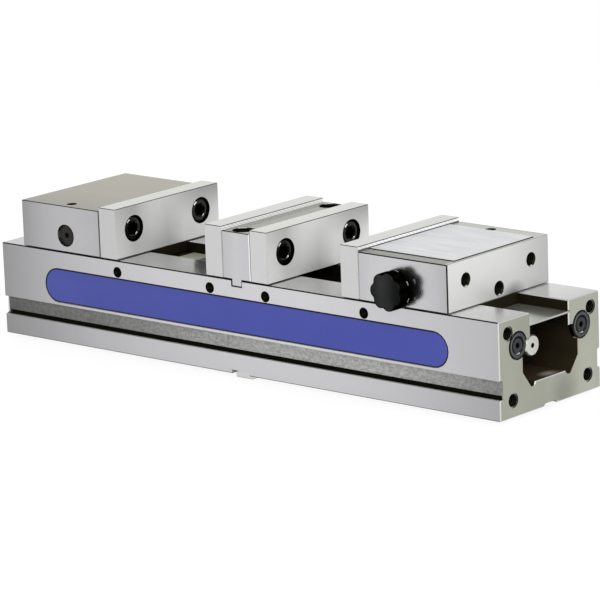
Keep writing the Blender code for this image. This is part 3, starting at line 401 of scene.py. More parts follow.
def line_bed_edges(skin):
    """Bevels are painted as reflections: dark lines along the sides and bright ones, a little rusty, round the
    end faces.
    """
    x, y, z, depth = skin.x, skin.y, skin.z, abs(skin.y)
    outer_edges, top_edge, bottom_edge, bottom_start = 0.0450, 0.0628, 0.0006, -0.0600
    notch_span, notch_bottom = (-0.0051, 0.0044), 0.0588
    end_bevel, rust_span, rust_heights = 0.0008, (0.0180, 0.0300), (0.0140, 0.0460)
    skin.blacken(skin.long_edge * (depth > outer_edges))
    skin.blacken((z > top_edge) * (depth > SIDE_BEVEL))
    skin.blacken((z < bottom_edge) * (depth > SIDE_BEVEL) * (x > bottom_start))
    skin.blacken(between(x, *notch_span) * (z > notch_bottom) * (depth > SIDE_BEVEL))
    mouth = abs(x) > HALF_LENGTH - end_bevel
    skin.paint(mouth * (skin.cross_edge + skin.upright_edge > 0.5), (0.66, 0.66, 0.65), 1.0, 0.25)
    rusty = mouth * between(y, *rust_span) * between(z, *rust_heights) * skin.off_ends
    skin.paint(rusty, RUST, 0.0, 0.7)


def blacken_bed_holes(skin):
    """The tapped holes are painted black inside as shade, and those in the ends have a painted highlight on
    their lower rim.
    """
    z, along, depth = skin.z, abs(skin.x), abs(skin.y)
    side_radius, side_reach = 0.0037, 0.0300
    end_radius, end_reach = 0.0051, 0.1500
    inner, outer = (skin.near(along - place, z - SIDE_HOLE_HEIGHT, side_radius) for place in SIDE_HOLES[2:])
    skin.blacken((inner + outer) * (depth > side_reach) > 0.5)
    upper, lower = (skin.near(depth - out, z - height, end_radius) for out, height in END_HOLES)
    hole = (upper + lower > 0.5) * skin.off_ends * (along > end_reach)
    skin.blacken(hole)
    skin.paint(hole * skin.lower_rim(), BRIGHT_LINE, 1.0, 0.3)


def centre_steel():
    skin = GroundSteel("centre_jaw_steel", (0.550, 0.545, 0.560), (0.250, 0.256, 0.205), PALE_STEEL)
    x, y, z = skin.x, skin.y, skin.z
    half_length = 0.0120
    # Painted shading along the sides, and bevels painted dark and bright as reflections
    skin.shade(skin.sideways, skin.along(x, -half_length, half_length, 0.90, 1.02, 0.98))
    skin.paint(skin.long_edge, DARK_LINE, 0.4, 0.5)
    skin.paint(skin.cross_edge, (0.10, 0.10, 0.09))
    skin.paint(skin.upright_edge * (skin.nx < 0), (0.18, 0.18, 0.18))
    skin.paint(skin.upright_edge * (skin.nx > 0), BRIGHT_LINE, 0.1)
    # The bolts' bores, painted black as shade, with a painted glint high on the left front of each wall
    bore_radius, glint_reach, glint_start, glint_bottom = 0.0078, 0.0080, 0.0068, 0.0928
    bore = skin.near(x, abs(y) - CENTRE_BOLT_OUT, bore_radius) * (z < BELOW_JAW_TOP)
    skin.blacken(bore)
    for place in (-CENTRE_BOLT_OUT, CENTRE_BOLT_OUT):
        toward_glint = x * -0.75 - (y - place) * 0.66
        glint = bore * between(toward_glint, glint_start, glint_reach) * (z > glint_bottom)
        skin.paint(glint * (abs(y - place) < glint_reach), BRIGHT_LINE, 1.0, 0.3)
    return skin.worn_and_lit()


def left_jaw_steel():
    skin = GroundSteel("left_jaw_steel", LILAC_STEEL, WARM_STEEL, PALE_STEEL)
    block_end, plate_back = -0.1948, -0.1224
    oil_hole_x, oil_hole_y, oil_hole_top = -0.1545, -0.0438, 0.0955
    side_shades = (0.46, 0.57, 0.65, 0.70, 0.71, 0.72, 0.71, 0.69)
    # Painted shading along the sides, and across the top, darker towards the front
    skin.shade(skin.sideways, skin.along(skin.x, block_end, plate_back, *side_shades))
    skin.shade(skin.up, skin.crosswise(0.68, 0.93, 1.03, 1.06))
    skin.shade(skin.up, 0.90 + skin.noise(1.0, 3.0, 0.6, (9, 220, 9)) * 0.20)
    # Bevels painted dark as reflections; the oil hole painted black as shade
    skin.paint(skin.long_edge, (0.05, 0.05, 0.05), 1.0, 0.5)
    skin.paint(skin.cross_edge, (0.10, 0.10, 0.09))
    skin.paint(skin.upright_edge * (skin.nx > 0), (0.08, 0.08, 0.08), 1.0)
    oil_hole = skin.near(skin.x - oil_hole_x, skin.y - oil_hole_y, OIL_HOLE_RADIUS) * (skin.z < oil_hole_top)
    skin.paint(oil_hole, DARK_LINE, 1.0, 0.6)
    skin.paint(skin.z < ABOVE_BED_TOP, SHADOW_BROWN, 1.0, 0.8)
    return skin.worn_and_lit()


def right_jaw_steel():
    skin = GroundSteel("right_jaw_steel", LILAC_STEEL, (0.160, 0.158, 0.126), (0.650, 0.655, 0.640), 0.20)
    x, y, z = skin.x, skin.y, skin.z
    plate_back, block_end = 0.1039, 0.1763
    side_shades = (0.80, 0.88, 0.91, 0.91, 0.90, 0.86, 0.80, 0.70)
    # Painted shading along the sides and across the end face, darker towards the rear
    skin.shade(skin.sideways, skin.along(x, plate_back, block_end, *side_shades))
    skin.shade(skin.endways, skin.crosswise(1.0, 1.0, 0.99, 0.93, 0.79, 0.63))
    skin.paint(skin.endways, None, 0.45, 0.36)
    # The dark slot of the bed, mirrored softly low on the end face
    mirrored_y, mirrored_height, mirrored_radius, mirrored_rim = 0.0150, 0.0625, 0.0010, 0.0095
    mirrored = skin.spot((y - mirrored_y) * 0.8, z - mirrored_height, mirrored_radius, mirrored_rim)
    skin.shade(skin.endways * mirrored, 0.22)
    paint_brushed_top(skin)
    skin.paint(skin.sideways, None, 1.0, 0.21)
    line_right_jaw_edges(skin)
    return skin.worn_and_lit(0.03, 0.06)


def paint_brushed_top(skin):
    """The brushed middle of the right jaw's top stands a little higher than the strips round it. The end and
    rear strips are painted lighter as lit, and the step round the middle is painted dark as shade.
    """
    x, y, z = skin.x, skin.y, skin.z
    end_strip, rear_strip = 0.1730, 0.0400
    skin.paint(skin.up * (x > end_strip), (0.350, 0.350, 0.300))
    skin.paint(skin.up * (y > rear_strip), (0.410, 0.412, 0.365))
    middle_out, middle_end, middle_height = 0.0407, 0.1732, 0.0954
    brush = skin.noise(1.0, 4.0, 0.7, (24, 800, 24))
    patches = skin.noise(1.0, 2.0, 0.5, (40, 110, 40))
    brushed = skin.blend(brush * 0.65 + patches * 0.35, (0.36, 0.37, 0.39), (0.95, 0.95, 0.95))
    middle = skin.up * (abs(y) < middle_out) * (x < middle_end) * (z > middle_height)
    skin.paint(middle, brushed, 0.6, 0.32)
    step_out, step_end, step_heights, far_step = 0.0412, 0.1736, (0.0951, 0.0957), 0.1731
    step = between(z, *step_heights) * (abs(y) < step_out) * (x < step_end) * (1 - skin.up)
    skin.paint(step, DARK_LINE, 0.5, 0.5)
    skin.paint(step * (x > far_step), (0.30, 0.30, 0.28))


def line_right_jaw_edges(skin):
    """Bevels painted dark as reflections, one of them with a dotted rim, an oil hole painted black as shade,
    and a painted shadow where jaw and bed meet.
    """
    x, y, z = skin.x, skin.y, skin.z
    top_edge, end_edge, dots_each_metre = 0.0945, 0.1755, 4200.0
    oil_hole_x, oil_hole_y, oil_hole_top = 0.1360, 0.0438, 0.0955
    skin.paint(skin.long_edge, (0.04, 0.04, 0.035), 1.0, 0.5)
    skin.paint((abs(y) > SIDE_BEVEL) * (z > top_edge), (0.02, 0.02, 0.017), 1.0, 0.5)
    skin.paint(skin.cross_edge, (0.07, 0.07, 0.065), 1.0)
    oil_hole = skin.near(x - oil_hole_x, y - oil_hole_y, OIL_HOLE_RADIUS) * (z < oil_hole_top)
    skin.paint(oil_hole, DARK_LINE, 1.0, 0.6)
    skin.paint(z < ABOVE_BED_TOP, SHADOW_BROWN, 1.0, 0.8)
    dots = skin.maths("SINE", z * dots_each_metre) > -0.3
    dotted = skin.blend(dots, (0.20, 0.20, 0.19), DARK_LINE)
    skin.paint((abs(y) > SIDE_BEVEL) * (x > end_edge), dotted, 1.0, 0.5)
    skin.blacken(skin.upright_edge * (skin.nx > 0))


def plate_steel():
    skin = GroundSteel(
        "plate_ground_steel", WHITE_STEEL, (0.690, 0.700, 0.655), (0.560, 0.565, 0.550), 0.30, 0.45, marked=0.02
    )
    x, y, z = skin.x, skin.y, skin.z
    plates = (-0.1224, 0.1040)
    # Painted shading along the sides and the tops
    skin.shade(skin.sideways, skin.along(x, *plates, 0.84, 0.87, 0.91, 0.95, 0.95, 0.91))
    skin.shade(skin.up, skin.along(x, *plates, 0.90, 0.90, 0.92, 0.93, 0.88))
    shade_clamping_faces(skin)
    paint_plate_backs(skin)
    # Bevels painted dark and light as reflections; the seams beside the centre block black, and the screws'
    # bores painted black as shade
    skin.paint(skin.long_edge + skin.cross_edge > 0.5, (0.05, 0.05, 0.045), 0.8)
    skin.paint(skin.upright_edge, (0.50, 0.50, 0.49))
    block_edge, block_side, bore_radius = (0.0115, 0.0128), 0.0508, 0.0092
    skin.blacken(between(x, *block_edge) * (abs(y) > block_side))
    skin.blacken(skin.near(abs(y) - PLATE_SCREW_OUT, z - PLATE_SCREW_HEIGHT, bore_radius) * skin.off_ends)
    return skin.worn_and_lit(0.02, 0.08)


def shade_clamping_faces(skin):
    """Painted shading in soft patches on the clamping faces, another row of them above than below."""
    row, heights, faces = (-0.0490, 0.0490), (0.0680, 0.0960), (-0.1080, 0.0270)
    low_shades = (1.26, 1.20, 1.03, 1.10, 1.12, 1.04, 0.90, 1.06, 1.28, 1.24, 1.20, 1.20, 1.25)
    high_shades = (0.88, 0.76, 0.70, 0.92, 1.06, 1.06, 1.0, 0.92, 0.78, 0.66, 0.58, 0.54, 0.52)
    low, high = (skin.along(skin.y, *row, *shades) for shades in (low_shades, high_shades))
    height = skin.along(skin.z, *heights, 0.0, 0.35, 1.0)
    skin.shade(skin.endways, (low + height * (high - low)) * skin.along(skin.x, *faces, 0.98, 1.17))
    skin.paint(skin.endways, None, 0.25, 0.40)


def paint_plate_backs(skin):
    """The plates' backs are painted bright as lit, rippled with grinding marks, above the blocks, and the right
    one has a foot painted darker as shade.
    """
    x, y, z = skin.x, skin.y, skin.z
    left_back, right_back, reach, foot_top = -0.0122, 0.1039, 0.0006, 0.0960
    lean, waves_each_metre = 1.7, 1700.0
    over_block = skin.endways * (z > BELOW_JAW_TOP)
    right = abs(x - right_back) < reach
    ripple = skin.maths("SINE", (y + z * lean) * waves_each_metre)
    rippled = skin.blend(ripple * 0.5 + 0.5, (0.76, 0.76, 0.76), (0.98, 0.98, 0.99))
    skin.paint(((abs(x - left_back) < reach) + right > 0.5) * over_block, rippled, 0.1)
    skin.paint(right * over_block * (z < foot_top), (0.20, 0.20, 0.20), 1.0)


def bright_steel():
    skin = GroundSteel("bright_steel", WHITE_STEEL, PALE_STEEL, PALE_STEEL)
    # Bevels painted dark as reflections
    skin.paint(skin.long_edge + skin.cross_edge > 0.5, (0.2, 0.2, 0.2))
    return skin.worn_and_lit()


def cover_steel():
    skin = GroundSteel(
        "cover_sheet_steel", (0.10, 0.10, 0.08), (0.720, 0.740, 0.670), (0.42, 0.43, 0.38), 0.17, 0.9
    )
    # Painted reflections: soft light and dark patches over the top
    patches = skin.noise(55.0, 2.0, 0.5, (0.6, 1, 1))
    skin.shade(skin.up, 0.62 + patches * 1.10)
    return skin.worn_and_lit()


def nut_steel():
    """The guide and the nose are ground, and the body below them and the ends past the noses are painted in
    shadow.
    """
    skin = GroundSteel("nut_steel", (0.30, 0.30, 0.22), GREEN_STEEL, (0.40, 0.41, 0.34), 0.35, 0.3)
    left_nose, right_nose, body_top = -0.1030, 0.0845, 0.0475
    hidden = (skin.x < left_nose) + (skin.x > right_nose) + (skin.z < body_top)
    skin.paint(hidden > 0.5, SHADOW_BROWN, 1.0, 0.8)
    return skin.worn_and_lit()


def screw_steel():
    skin = Skin("turned_steel", (0.60, 0.61, 0.57), metallic=0.9)
    centre_radius, centre_start = 0.0017, 0.1900
    lines = skin.noise(1.0, 3.0, 0.6, (2600, 60, 60))
    cloud = skin.noise(60.0)
    skin.rough = 0.20 + lines * 0.14
    skin.bump(lines, 0.06, 0.0002)
    # The centre hole in the right end painted black as shade
    skin.blacken(skin.near(skin.y, skin.z - SCREW_HEIGHT, centre_radius) * (skin.x > centre_start))
    return skin.finish(0.88 + cloud * 0.24)


def oxide(name, colour, roughness, metallic, rim=None, **settings):
    """Dark oxide on steel, finely mottled, with a painted highlight on its outer or inner rim where it looks
    up.
    """
    skin = Skin(name, colour, metallic=metallic, **settings)
    if rim:
        skin.paint(skin.lower_rim() if rim == "inner" else skin.upper_rim(), BRIGHT_LINE, 1.0)
    grain = skin.noise(1500.0, 2.0, 0.6)
    cloud = skin.noise(180.0, 2.0, 0.5)
    skin.rough = roughness + (grain - 0.5) * 0.12
    skin.bump(grain, 0.06, 0.0002)
    return skin.finish(0.75 + cloud * 0.35 + grain * 0.25)


def knob_plastic():
    skin = Skin("knob_plastic", KNOB_BLACK, Specular_IOR_Level=0.22, Specular_Tint=(0.1, 0.1, 0.1, 1))
    grain = skin.noise(2200.0, 2.0, 0.6)
    cloud = skin.noise(90.0)
    skin.rough = 0.34 + (grain - 0.5) * 0.16
    skin.bump(grain, 0.10, 0.0002)
    # A soft sheen over the face, paler on one side, and near-black flanks
    knob_span = (0.1230, 0.1484)
    sheen = skin.along(skin.x, *knob_span, 0.020, 0.030, 0.034, 0.026, 0.012, 0.008)
    skin.paint(skin.ny < -0.7, skin.scaled((1.0, 1.02, 1.04), sheen), 1.0)
    skin.paint(skin.ny > -0.7, (0.003, 0.003, 0.002), 1.0, 0.4)
    return skin.finish(0.75 + cloud * 0.5)


def knob_glint():
    """A painted highlight on the rear edge of the lobes, in a shiny grey finish."""
    skin = Skin("knob_rim_plastic", (0.30, 0.30, 0.30))
    grain = skin.noise(1600.0, 2.0, 0.6)
    skin.rough = 0.14 + grain * 0.10
    return skin.finish(0.8 + grain * 0.4)


def label_print():
    """Blue print on a thin plate, with a near-black band painted round its edge as the pocket's shadow."""
    pocket_shadow = 0.00085
    middle, radius, reach = nameplate_sizes()
    skin = Skin("label_print", LABEL_BLUE, Specular_IOR_Level=0.25)
    grain = skin.noise(1400.0, 2.0, 0.5)
    cloud = skin.noise(26.0, 3.0, 0.5)
    beyond = skin.maths("MAXIMUM", abs(skin.x - middle.x) - reach, 0.0)
    height = skin.z - middle.z
    from_core = (beyond * beyond + height * height) ** 0.5
    # The pocket's shadow, painted as a near-black band round the plate's edge
    skin.paint(from_core > radius - pocket_shadow, (0.008, 0.008, 0.012), 0.5)
    skin.rough = 0.42 + (grain - 0.5) * 0.10
    skin.bump(grain, 0.04, 0.0002)
    return skin.finish(0.92 + cloud * 0.16)


def bronze():
    skin = Skin("turned_bronze", BRONZE, metallic=1.0)
    cloud = skin.noise(150.0)
    skin.rough = 0.30 + cloud * 0.12
    return skin.finish(0.80 + cloud * 0.35)


# Modelling helpers


def start(add, **sizes):
    """Adds a primitive with nothing else selected, and hands it over."""
    bpy.ops.object.select_all(action="DESELECT")
    add(**sizes)
    return bpy.context.object


def blank(corners, radius, height=0.0):
    """A flat round blank, for a shape that is raised from it."""
    add = bpy.ops.mesh.primitive_circle_add
    piece = start(add, vertices=corners, radius=radius, fill_type="NGON", location=(0, 0, height))
    bpy.ops.object.transform_apply(location=True)
    return piece


def focus(piece):
    bpy.ops.object.select_all(action="DESELECT")
    piece.select_set(True)
    bpy.context.view_layer.objects.active = piece


def pick(piece, test, kind="FACE"):
    """Goes to edit mode with the faces, edges or points that pass the test selected."""
    focus(piece)
    bpy.ops.object.mode_set(mode="EDIT")
    bpy.ops.mesh.select_mode(type=kind)
    bpy.ops.mesh.select_all(action="DESELECT")
    bpy.ops.object.mode_set(mode="OBJECT")
    mesh = piece.data
    for element in {"FACE": mesh.polygons, "EDGE": mesh.edges, "VERT": mesh.vertices}[kind]:
        element.select = bool(test(element))
    bpy.ops.object.mode_set(mode="EDIT")


def done(piece):
    bpy.ops.object.mode_set(mode="OBJECT")
    return piece


def rise(radius_share, travel):
    """Extrudes the selected cap along Z and widens or narrows it round the axis."""
    bpy.ops.mesh.extrude_region_move(TRANSFORM_OT_translate={"value": (0, 0, travel)})
    if radius_share != 1:
        bpy.ops.transform.resize(value=(radius_share, radius_share, 1), center_override=(0, 0, 0))


def turned(name, steps, profile):
    """A turned shape on the Z axis, extruded from ring to ring through (radius, height)."""
    (radius, height), *rest = profile
    piece = blank(steps, radius, height)
    piece.name = name
    bpy.ops.object.mode_set(mode="EDIT")
    bpy.ops.mesh.select_all(action="SELECT")
    for next_radius, next_height in rest:
        rise(next_radius / radius, next_height - height)
        radius, height = next_radius, next_height
    return outward(piece)


def outward(piece):
    """Merges doubles and turns every face outwards."""
    bpy.ops.mesh.select_all(action="SELECT")
    bpy.ops.mesh.remove_doubles(threshold=0.000001)
    bpy.ops.mesh.normals_make_consistent(inside=False)
    return done(piece)


def carve(piece, cutter):
    focus(piece)
    step = piece.modifiers.new("carve", "BOOLEAN")
    step.operation = "DIFFERENCE"
    step.object = cutter
    bpy.ops.object.modifier_apply(modifier=step.name)
    bpy.data.objects.remove(cutter, do_unlink=True)
    return piece


def bevelled(piece, width):
    focus(piece)
    step = piece.modifiers.new("edge", "BEVEL")
    step.width = width
    step.segments = 2
    step.limit_method = "ANGLE"
    step.angle_limit = math.radians(35)
    bpy.ops.object.modifier_apply(modifier=step.name)
    return piece


def hexagon(across, low, high):
    """A six-sided bar on the Z axis, as a drive or to cut a socket."""
    add = bpy.ops.mesh.primitive_cylinder_add
    middle = (0, 0, (low + high) / 2)
    return start(add, vertices=6, radius=across / math.sqrt(3), depth=high - low, location=middle)


def joined(piece, *others):
    focus(piece)
    for other in others:
        other.select_set(True)
    bpy.ops.object.join()
    return piece


def smooth(piece, angle=32):
    focus(piece)
    bpy.ops.object.shade_smooth_by_angle(angle=math.radians(angle))
    return piece


# The turn that makes a shape's upper end look along an axis
FACING = {
    "+X": Matrix.Rotation(math.radians(90), 4, "Y"),
    "-X": Matrix.Rotation(math.radians(-90), 4, "Y"),
    "+Y": Matrix.Rotation(math.radians(-90), 4, "X"),
    "-Y": Matrix.Rotation(math.radians(90), 4, "X"),
    "+Z": Matrix.Identity(4),
    "-Z": Matrix.Rotation(math.radians(180), 4, "X"),
}


def settle(piece, name, spot, facing, body, skins, nodes):
    """Puts a finished shape in its place, dresses it and ties it to the frame."""
    piece.name = name
    piece.data.name = name
    piece.matrix_world = Matrix.Translation(spot) @ FACING[facing]
    focus(piece)
    bpy.ops.object.transform_apply(location=True, rotation=True, scale=True)
    marks = [face.material_index for face in piece.data.polygons]
    piece.data.materials.clear()
    for skin in skins:
        piece.data.materials.append(skin)
    for face, mark in zip(piece.data.polygons, marks):
        face.material_index = min(mark, len(skins) - 1)
    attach(piece, body)
    if nodes:
        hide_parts(*nodes)
    return piece


def seat(node, facing):
    """The middle of a solid's outer end, on the side that it faces."""
    low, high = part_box(node)
    spot = (low + high) / 2
    axis = "XYZ".index(facing[1])
    spot[axis] = high[axis] if facing[0] == "+" else low[axis]
    return spot


def finish_of(piece, index, test):
    """Gives the faces that pass the test another of the piece's finishes."""
    while len(piece.data.materials) <= index:
        piece.data.materials.append(None)
    for face in piece.data.polygons:
        if test(face):
            face.material_index = index
    return piece


def copy_of(pattern):
    """A copy with a mesh of its own, for a shape that repeats."""
    twin = pattern.copy()
    twin.data = pattern.data.copy()
    bpy.context.collection.objects.link(twin)
    return twin


# Fasteners


def from_axis(face):
    return math.hypot(face.center.x, face.center.y)


def cap_screw(head, height, shank, length, socket):
    """A socket cap screw with its outer end at zero: knurled side, rounded edge, a ring painted paler as sheen,
    hex socket.
    """
    knurls = 36
    radius = head / 2
    edge = head * 0.14
    mouth = socket / math.sqrt(3) * 1.06
    profile = [
        (shank / 2 * 0.8, -height - length),
        (shank / 2, -height - length + shank * 0.1),
        (shank / 2, -height),
        (radius, -height),
        (radius, -edge),
        (radius - edge * 0.10, -edge * 0.60),
        (radius - edge * 0.35, -edge * 0.25),
        (radius * 0.87, -edge * 0.10),
        (radius * 0.78, 0),
        (mouth + edge * 0.25, 0),
        (mouth, -edge * 0.16),
        (mouth * 0.96, -edge * 0.40),
    ]
    screw = turned("cap_screw", knurls * 2, profile)
    gap = math.pi / knurls

    def groove(vert):
        turn = math.atan2(vert.co.y, vert.co.x) / gap
        on_side = math.hypot(vert.co.x, vert.co.y) > radius * 0.995
        return on_side and round(turn) % 2 == 1

    pick(screw, groove, "VERT")
    bpy.ops.transform.resize(value=(0.965, 0.965, 1), center_override=(0, 0, 0))
    done(screw)
    carve(screw, hexagon(socket, -height * 0.55, height * 0.5))
    # The flat ring takes the paler oxide, its painted sheen
    inner, outer = mouth * 0.97, radius * 0.84
    finish_of(screw, 1, lambda face: face.center.z > -edge * 0.17 and inner < from_axis(face) < outer)
    return smooth(screw)


def set_screw(diameter, length, socket):
    """A set screw with its socketed end at zero and its body along -Z."""
    edge = diameter * 0.05
    mouth = socket / math.sqrt(3) * 1.04
    profile = [
        (diameter / 2 - edge, -length),
        (diameter / 2, edge - length),
        (diameter / 2, -edge),
        (diameter / 2 - edge * 0.3, -edge * 0.3),
        (diameter / 2 - edge, 0),
        (mouth, 0),
        (mouth * 0.95, -mouth * 0.09),
    ]
    screw = turned("set_screw", 64, profile)
    carve(screw, hexagon(socket, -length * 0.55, length))
    return smooth(screw)


def stop_disc():
    """A stop disc with black edges, a raised rim and a dished seat for its screw."""
    profile = [
        (0.0084, -0.0038),
        (0.0087, -0.0035),
        (0.0087, -0.0008),
        (0.0083, -0.0003),
        (0.0079, 0.0),
        (0.0074, 0.0),
        (0.0067, -0.0003),
        (0.0061, -0.0004),
        (0.0057, -0.0005),
        (0.0053, -0.0010),
        (0.0053, -0.0029),
    ]
    disc = turned("stop_disc", 96, profile)
    outer_edge, seat_edge, seat_rim, axis = 0.0080, 0.0062, (0.0052, 0.0060), 0.0001
    finish_of(disc, 1, lambda face: from_axis(face) > outer_edge or axis < from_axis(face) < seat_edge)
    # The seat's rim takes the finish with a painted highlight on its lower side
    finish_of(disc, 2, lambda face: seat_rim[0] < from_axis(face) < seat_rim[1])
    return smooth(disc)


def stop_screw():
    """The small flat-headed screw in a stop disc."""
    profile = [
        (0.0018, -0.0137),
        (0.0022, -0.0133),
        (0.0022, -0.0022),
        (0.0050, -0.0022),
        (0.0050, -0.0004),
        (0.0046, 0.0),
        (0.0021, 0.0),
        (0.0019, -0.0002),
    ]
    screw = turned("stop_screw", 96, profile)
    socket, socket_depth, clear = 0.0030, 0.0016, 0.0010
    carve(screw, hexagon(socket, -socket_depth, clear))
    head_edge, socket_mouth = 0.0047, 0.0021
    finish_of(screw, 1, lambda face: from_axis(face) > head_edge or from_axis(face) < socket_mouth)
    return smooth(screw)


def jaw_spot(side, out, across, height):
    """A place on a moving jaw: out from its plate's face, across it, and above the bed's top."""
    if side == "left":
        return Vector((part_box("left_jaw_plate")[1].x - out, -across, BED_HEIGHT + height))
    return Vector((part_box("right_jaw_plate")[0].x + out, across, BED_HEIGHT + height))


def make_fasteners(skins):
    """The cap screws, the plugs and the adjusting screws, each seated in the place of its plain solid."""
    black = (skins["oxide"], skins["ring_sheen"])

    def put(pattern, node, suffix, facing, body, dress=black):
        spot = seat(node, facing)
        settle(copy_of(pattern), node + suffix, spot, facing, body, dress, [node])

    plate_screw = cap_screw(head=0.0166, height=0.0090, shank=0.0090, length=0.0150, socket=0.0080)
    centre_bolt = cap_screw(head=0.0130, height=0.0060, shank=0.0076, length=0.0419, socket=0.0060)
    bearing_bolt = cap_screw(head=0.0100, height=0.0040, shank=0.0060, length=0.0216, socket=0.0050)
    key_screw = cap_screw(head=0.0086, height=0.0030, shank=0.0048, length=0.0110, socket=0.0030)
    plug = set_screw(diameter=0.0148, length=0.0090, socket=0.0034)
    grub = set_screw(diameter=0.0094, length=0.0120, socket=0.0050)
    for place in ("front", "rear"):
        put(plate_screw, "left_plate_screw_" + place, "_head", "+X", "left_jaw")
        put(plate_screw, "right_plate_screw_" + place, "_head", "-X", "right_jaw")
        put(plate_screw, "centre_left_screw_" + place, "_head", "-X", "bed")
        put(plate_screw, "centre_right_screw_" + place, "_head", "+X", "bed")
        put(centre_bolt, "centre_bolt_" + place, "_head", "+Z", "bed")
        put(bearing_bolt, "bearing_bolt_" + place, "_head", "-Z", "bed")
        put(key_screw, "key_screw_" + place, "_head", "-Z", "bed")
    put(plug, "left_jaw_plug_front", "_screw", "-Y", "left_jaw", (skins["plug"],))
    put(plug, "left_jaw_plug_rear", "_screw", "+Y", "left_jaw", (skins["plug"],))
    put(plug, "right_jaw_plug_rear", "_screw", "+Y", "right_jaw", (skins["plug"],))
    put(grub, "left_adjusting_screw", "_grub", "-X", "left_jaw", (skins["oxide"],))
    put(grub, "right_adjusting_screw", "_grub", "+X", "right_jaw", (skins["oxide"],))
    for pattern in (plate_screw, centre_bolt, bearing_bolt, key_screw, plug, grub):
        bpy.data.objects.remove(pattern)


def make_stops(skins):
    """The stop discs in the bed's ends, each with its screw."""
    disc = stop_disc()
    screw = stop_screw()
    dress = (skins["stop"], skins["oxide"], skins["sunk"])
    head = (skins["stop_head"], skins["oxide"])
    for side, facing in (("left", "-X"), ("right", "+X")):
        for place in ("front", "rear"):
            node = f"{side}_stop_disc_{place}"
            spot = seat(node, facing)
            settle(copy_of(disc), node + "_rim", spot, facing, "bed", dress, [node])
            node = f"{side}_stop_screw_{place}"
            spot = seat(node, facing)
            settle(copy_of(screw), node + "_head", spot, facing, "bed", head, [node])
    bpy.data.objects.remove(disc)
    bpy.data.objects.remove(screw)


# Knob


def make_knob(skins):
    """A lobed knob: seven notches pressed into a round blank, which is then raised ring by ring."""
    lobes, share = 7, 16  # of points to each lobe
    radius, notch_depth = 0.0127, 0.0015
    back = 0.0021
    knob = blank(lobes * share, radius, back)
    gap = 2 * math.pi / (lobes * share)
    for step in range(1, share // 2 + 1):
        def in_notch(vert, step=step):
            turn = round(math.atan2(-vert.co.y, -vert.co.x) / gap) % share
            return min(turn, share - turn) == step

        wave = math.sin(math.pi * step / share) ** 4
        scale = 1 - notch_depth / radius * wave
        pick(knob, in_notch, "VERT")
        bpy.ops.transform.resize(value=(scale, scale, 1), center_override=(0, 0, 0))
        done(knob)
    pick(knob, lambda face: True)
    shiny_from, shiny_to = 0.0031, 0.0038
    rings = [
        (0.0119, back),
        (0.0124, 0.0024),
        (radius, shiny_from),
        (radius, shiny_to),
        (radius, 0.0106),
        (0.0126, 0.0112),
        (0.0123, 0.0117),
        (0.0118, 0.0120),
        (0.0106, 0.0122),
        (0.0078, 0.0124),
        (0.0045, 0.0126),
        (0.0012, 0.0127),
    ]
    rise(rings[0][0] / radius, 0)
    for (r0, z0), (r1, z1) in zip(rings, rings[1:]):
        rise(r1 / r0, z1 - z0)
    outward(knob)
    smooth(knob, 40)
    collar = turned("collar", 64, [(0.0083, 0.0003), (0.0085, 0.0005), (0.0085, 0.0026), (0.0070, 0.0027)])
    joined(knob, smooth(collar))
    lobe_tips = 0.01262
    # The band on the lobes' rear edge takes the finish with the painted highlight
    finish_of(knob, 1, lambda face: shiny_from < face.center.z < shiny_to and from_axis(face) > lobe_tips)
    knob_out, knob_height = 0.0465, 0.0117
    spot = jaw_spot("right", knob_out, -HALF_WIDTH, knob_height)
    dress = (skins["knob"], skins["knob_glint"])
    settle(knob, "brake_knob_grip", spot, "-Y", "brake_knob", dress, ["brake_knob"])


# Name plate, bare


def nameplate_sizes():
    """The plate's middle, the radius of its round ends, and how far their centres lie from the middle."""
    low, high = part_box("nameplate")
    radius = (high.z - low.z) / 2
    return (low + high) / 2, radius, (high.x - low.x) / 2 - radius


def make_nameplate(skins):
    """A bare stadium-shaped plate: a round blank pulled apart, thickened, with its front rim eased."""
    low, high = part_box("nameplate")
    _, radius, reach = nameplate_sizes()
    plate = blank(126, radius)
    for side in (-1, 1):
        pick(plate, lambda vert: vert.co.x * side > 0, "VERT")
        bpy.ops.transform.translate(value=(side * reach, 0, 0))
        done(plate)
    pick(plate, lambda face: True)
    rise(1, high.y - low.y)
    outward(plate)
    pick(plate, lambda face: face.normal.z > 0.9)
    bpy.ops.mesh.bevel(offset=0.00015, segments=2, affect="EDGES")
    outward(plate)
    smooth(plate)
    back = seat("nameplate", "+Y")
    settle(plate, "nameplate_print", back, "-Y", "bed", (skins["label"],), ["nameplate"])


# Leadscrew


def thread(radius, pitch, turns, depth, hand=1, steps=28):
    """A trapezoidal thread ridge wound on the Z axis from zero upward."""
    ridge = start(bpy.ops.mesh.primitive_plane_add, size=1, rotation=(math.radians(90), 0, 0))
    bpy.ops.object.transform_apply(location=True, rotation=True)
    for vert in ridge.data.vertices:
        outer = vert.co.x > 0
        vert.co.x = radius if outer else radius - depth
        half = pitch * (0.19 if outer else 0.31)
        vert.co.z = half if vert.co.z > 0 else -half
        vert.co.y = 0
    focus(ridge)
    bpy.ops.object.mode_set(mode="EDIT")
    bpy.ops.mesh.select_all(action="SELECT")
    bpy.ops.mesh.delete(type="ONLY_FACE")
    bpy.ops.object.mode_set(mode="OBJECT")
    wind = ridge.modifiers.new("wind", "SCREW")
    wind.angle = 2 * math.pi * hand
    wind.screw_offset = pitch
    wind.iterations = turns
    wind.steps = wind.render_steps = steps
    wind.use_merge_vertices = False
    bpy.ops.object.modifier_apply(modifier=wind.name)
    bpy.ops.object.mode_set(mode="EDIT")
    bpy.ops.mesh.select_mode(type="EDGE")
    bpy.ops.mesh.select_all(action="DESELECT")
    bpy.ops.mesh.select_non_manifold()
    bpy.ops.mesh.fill()
    return outward(ridge)


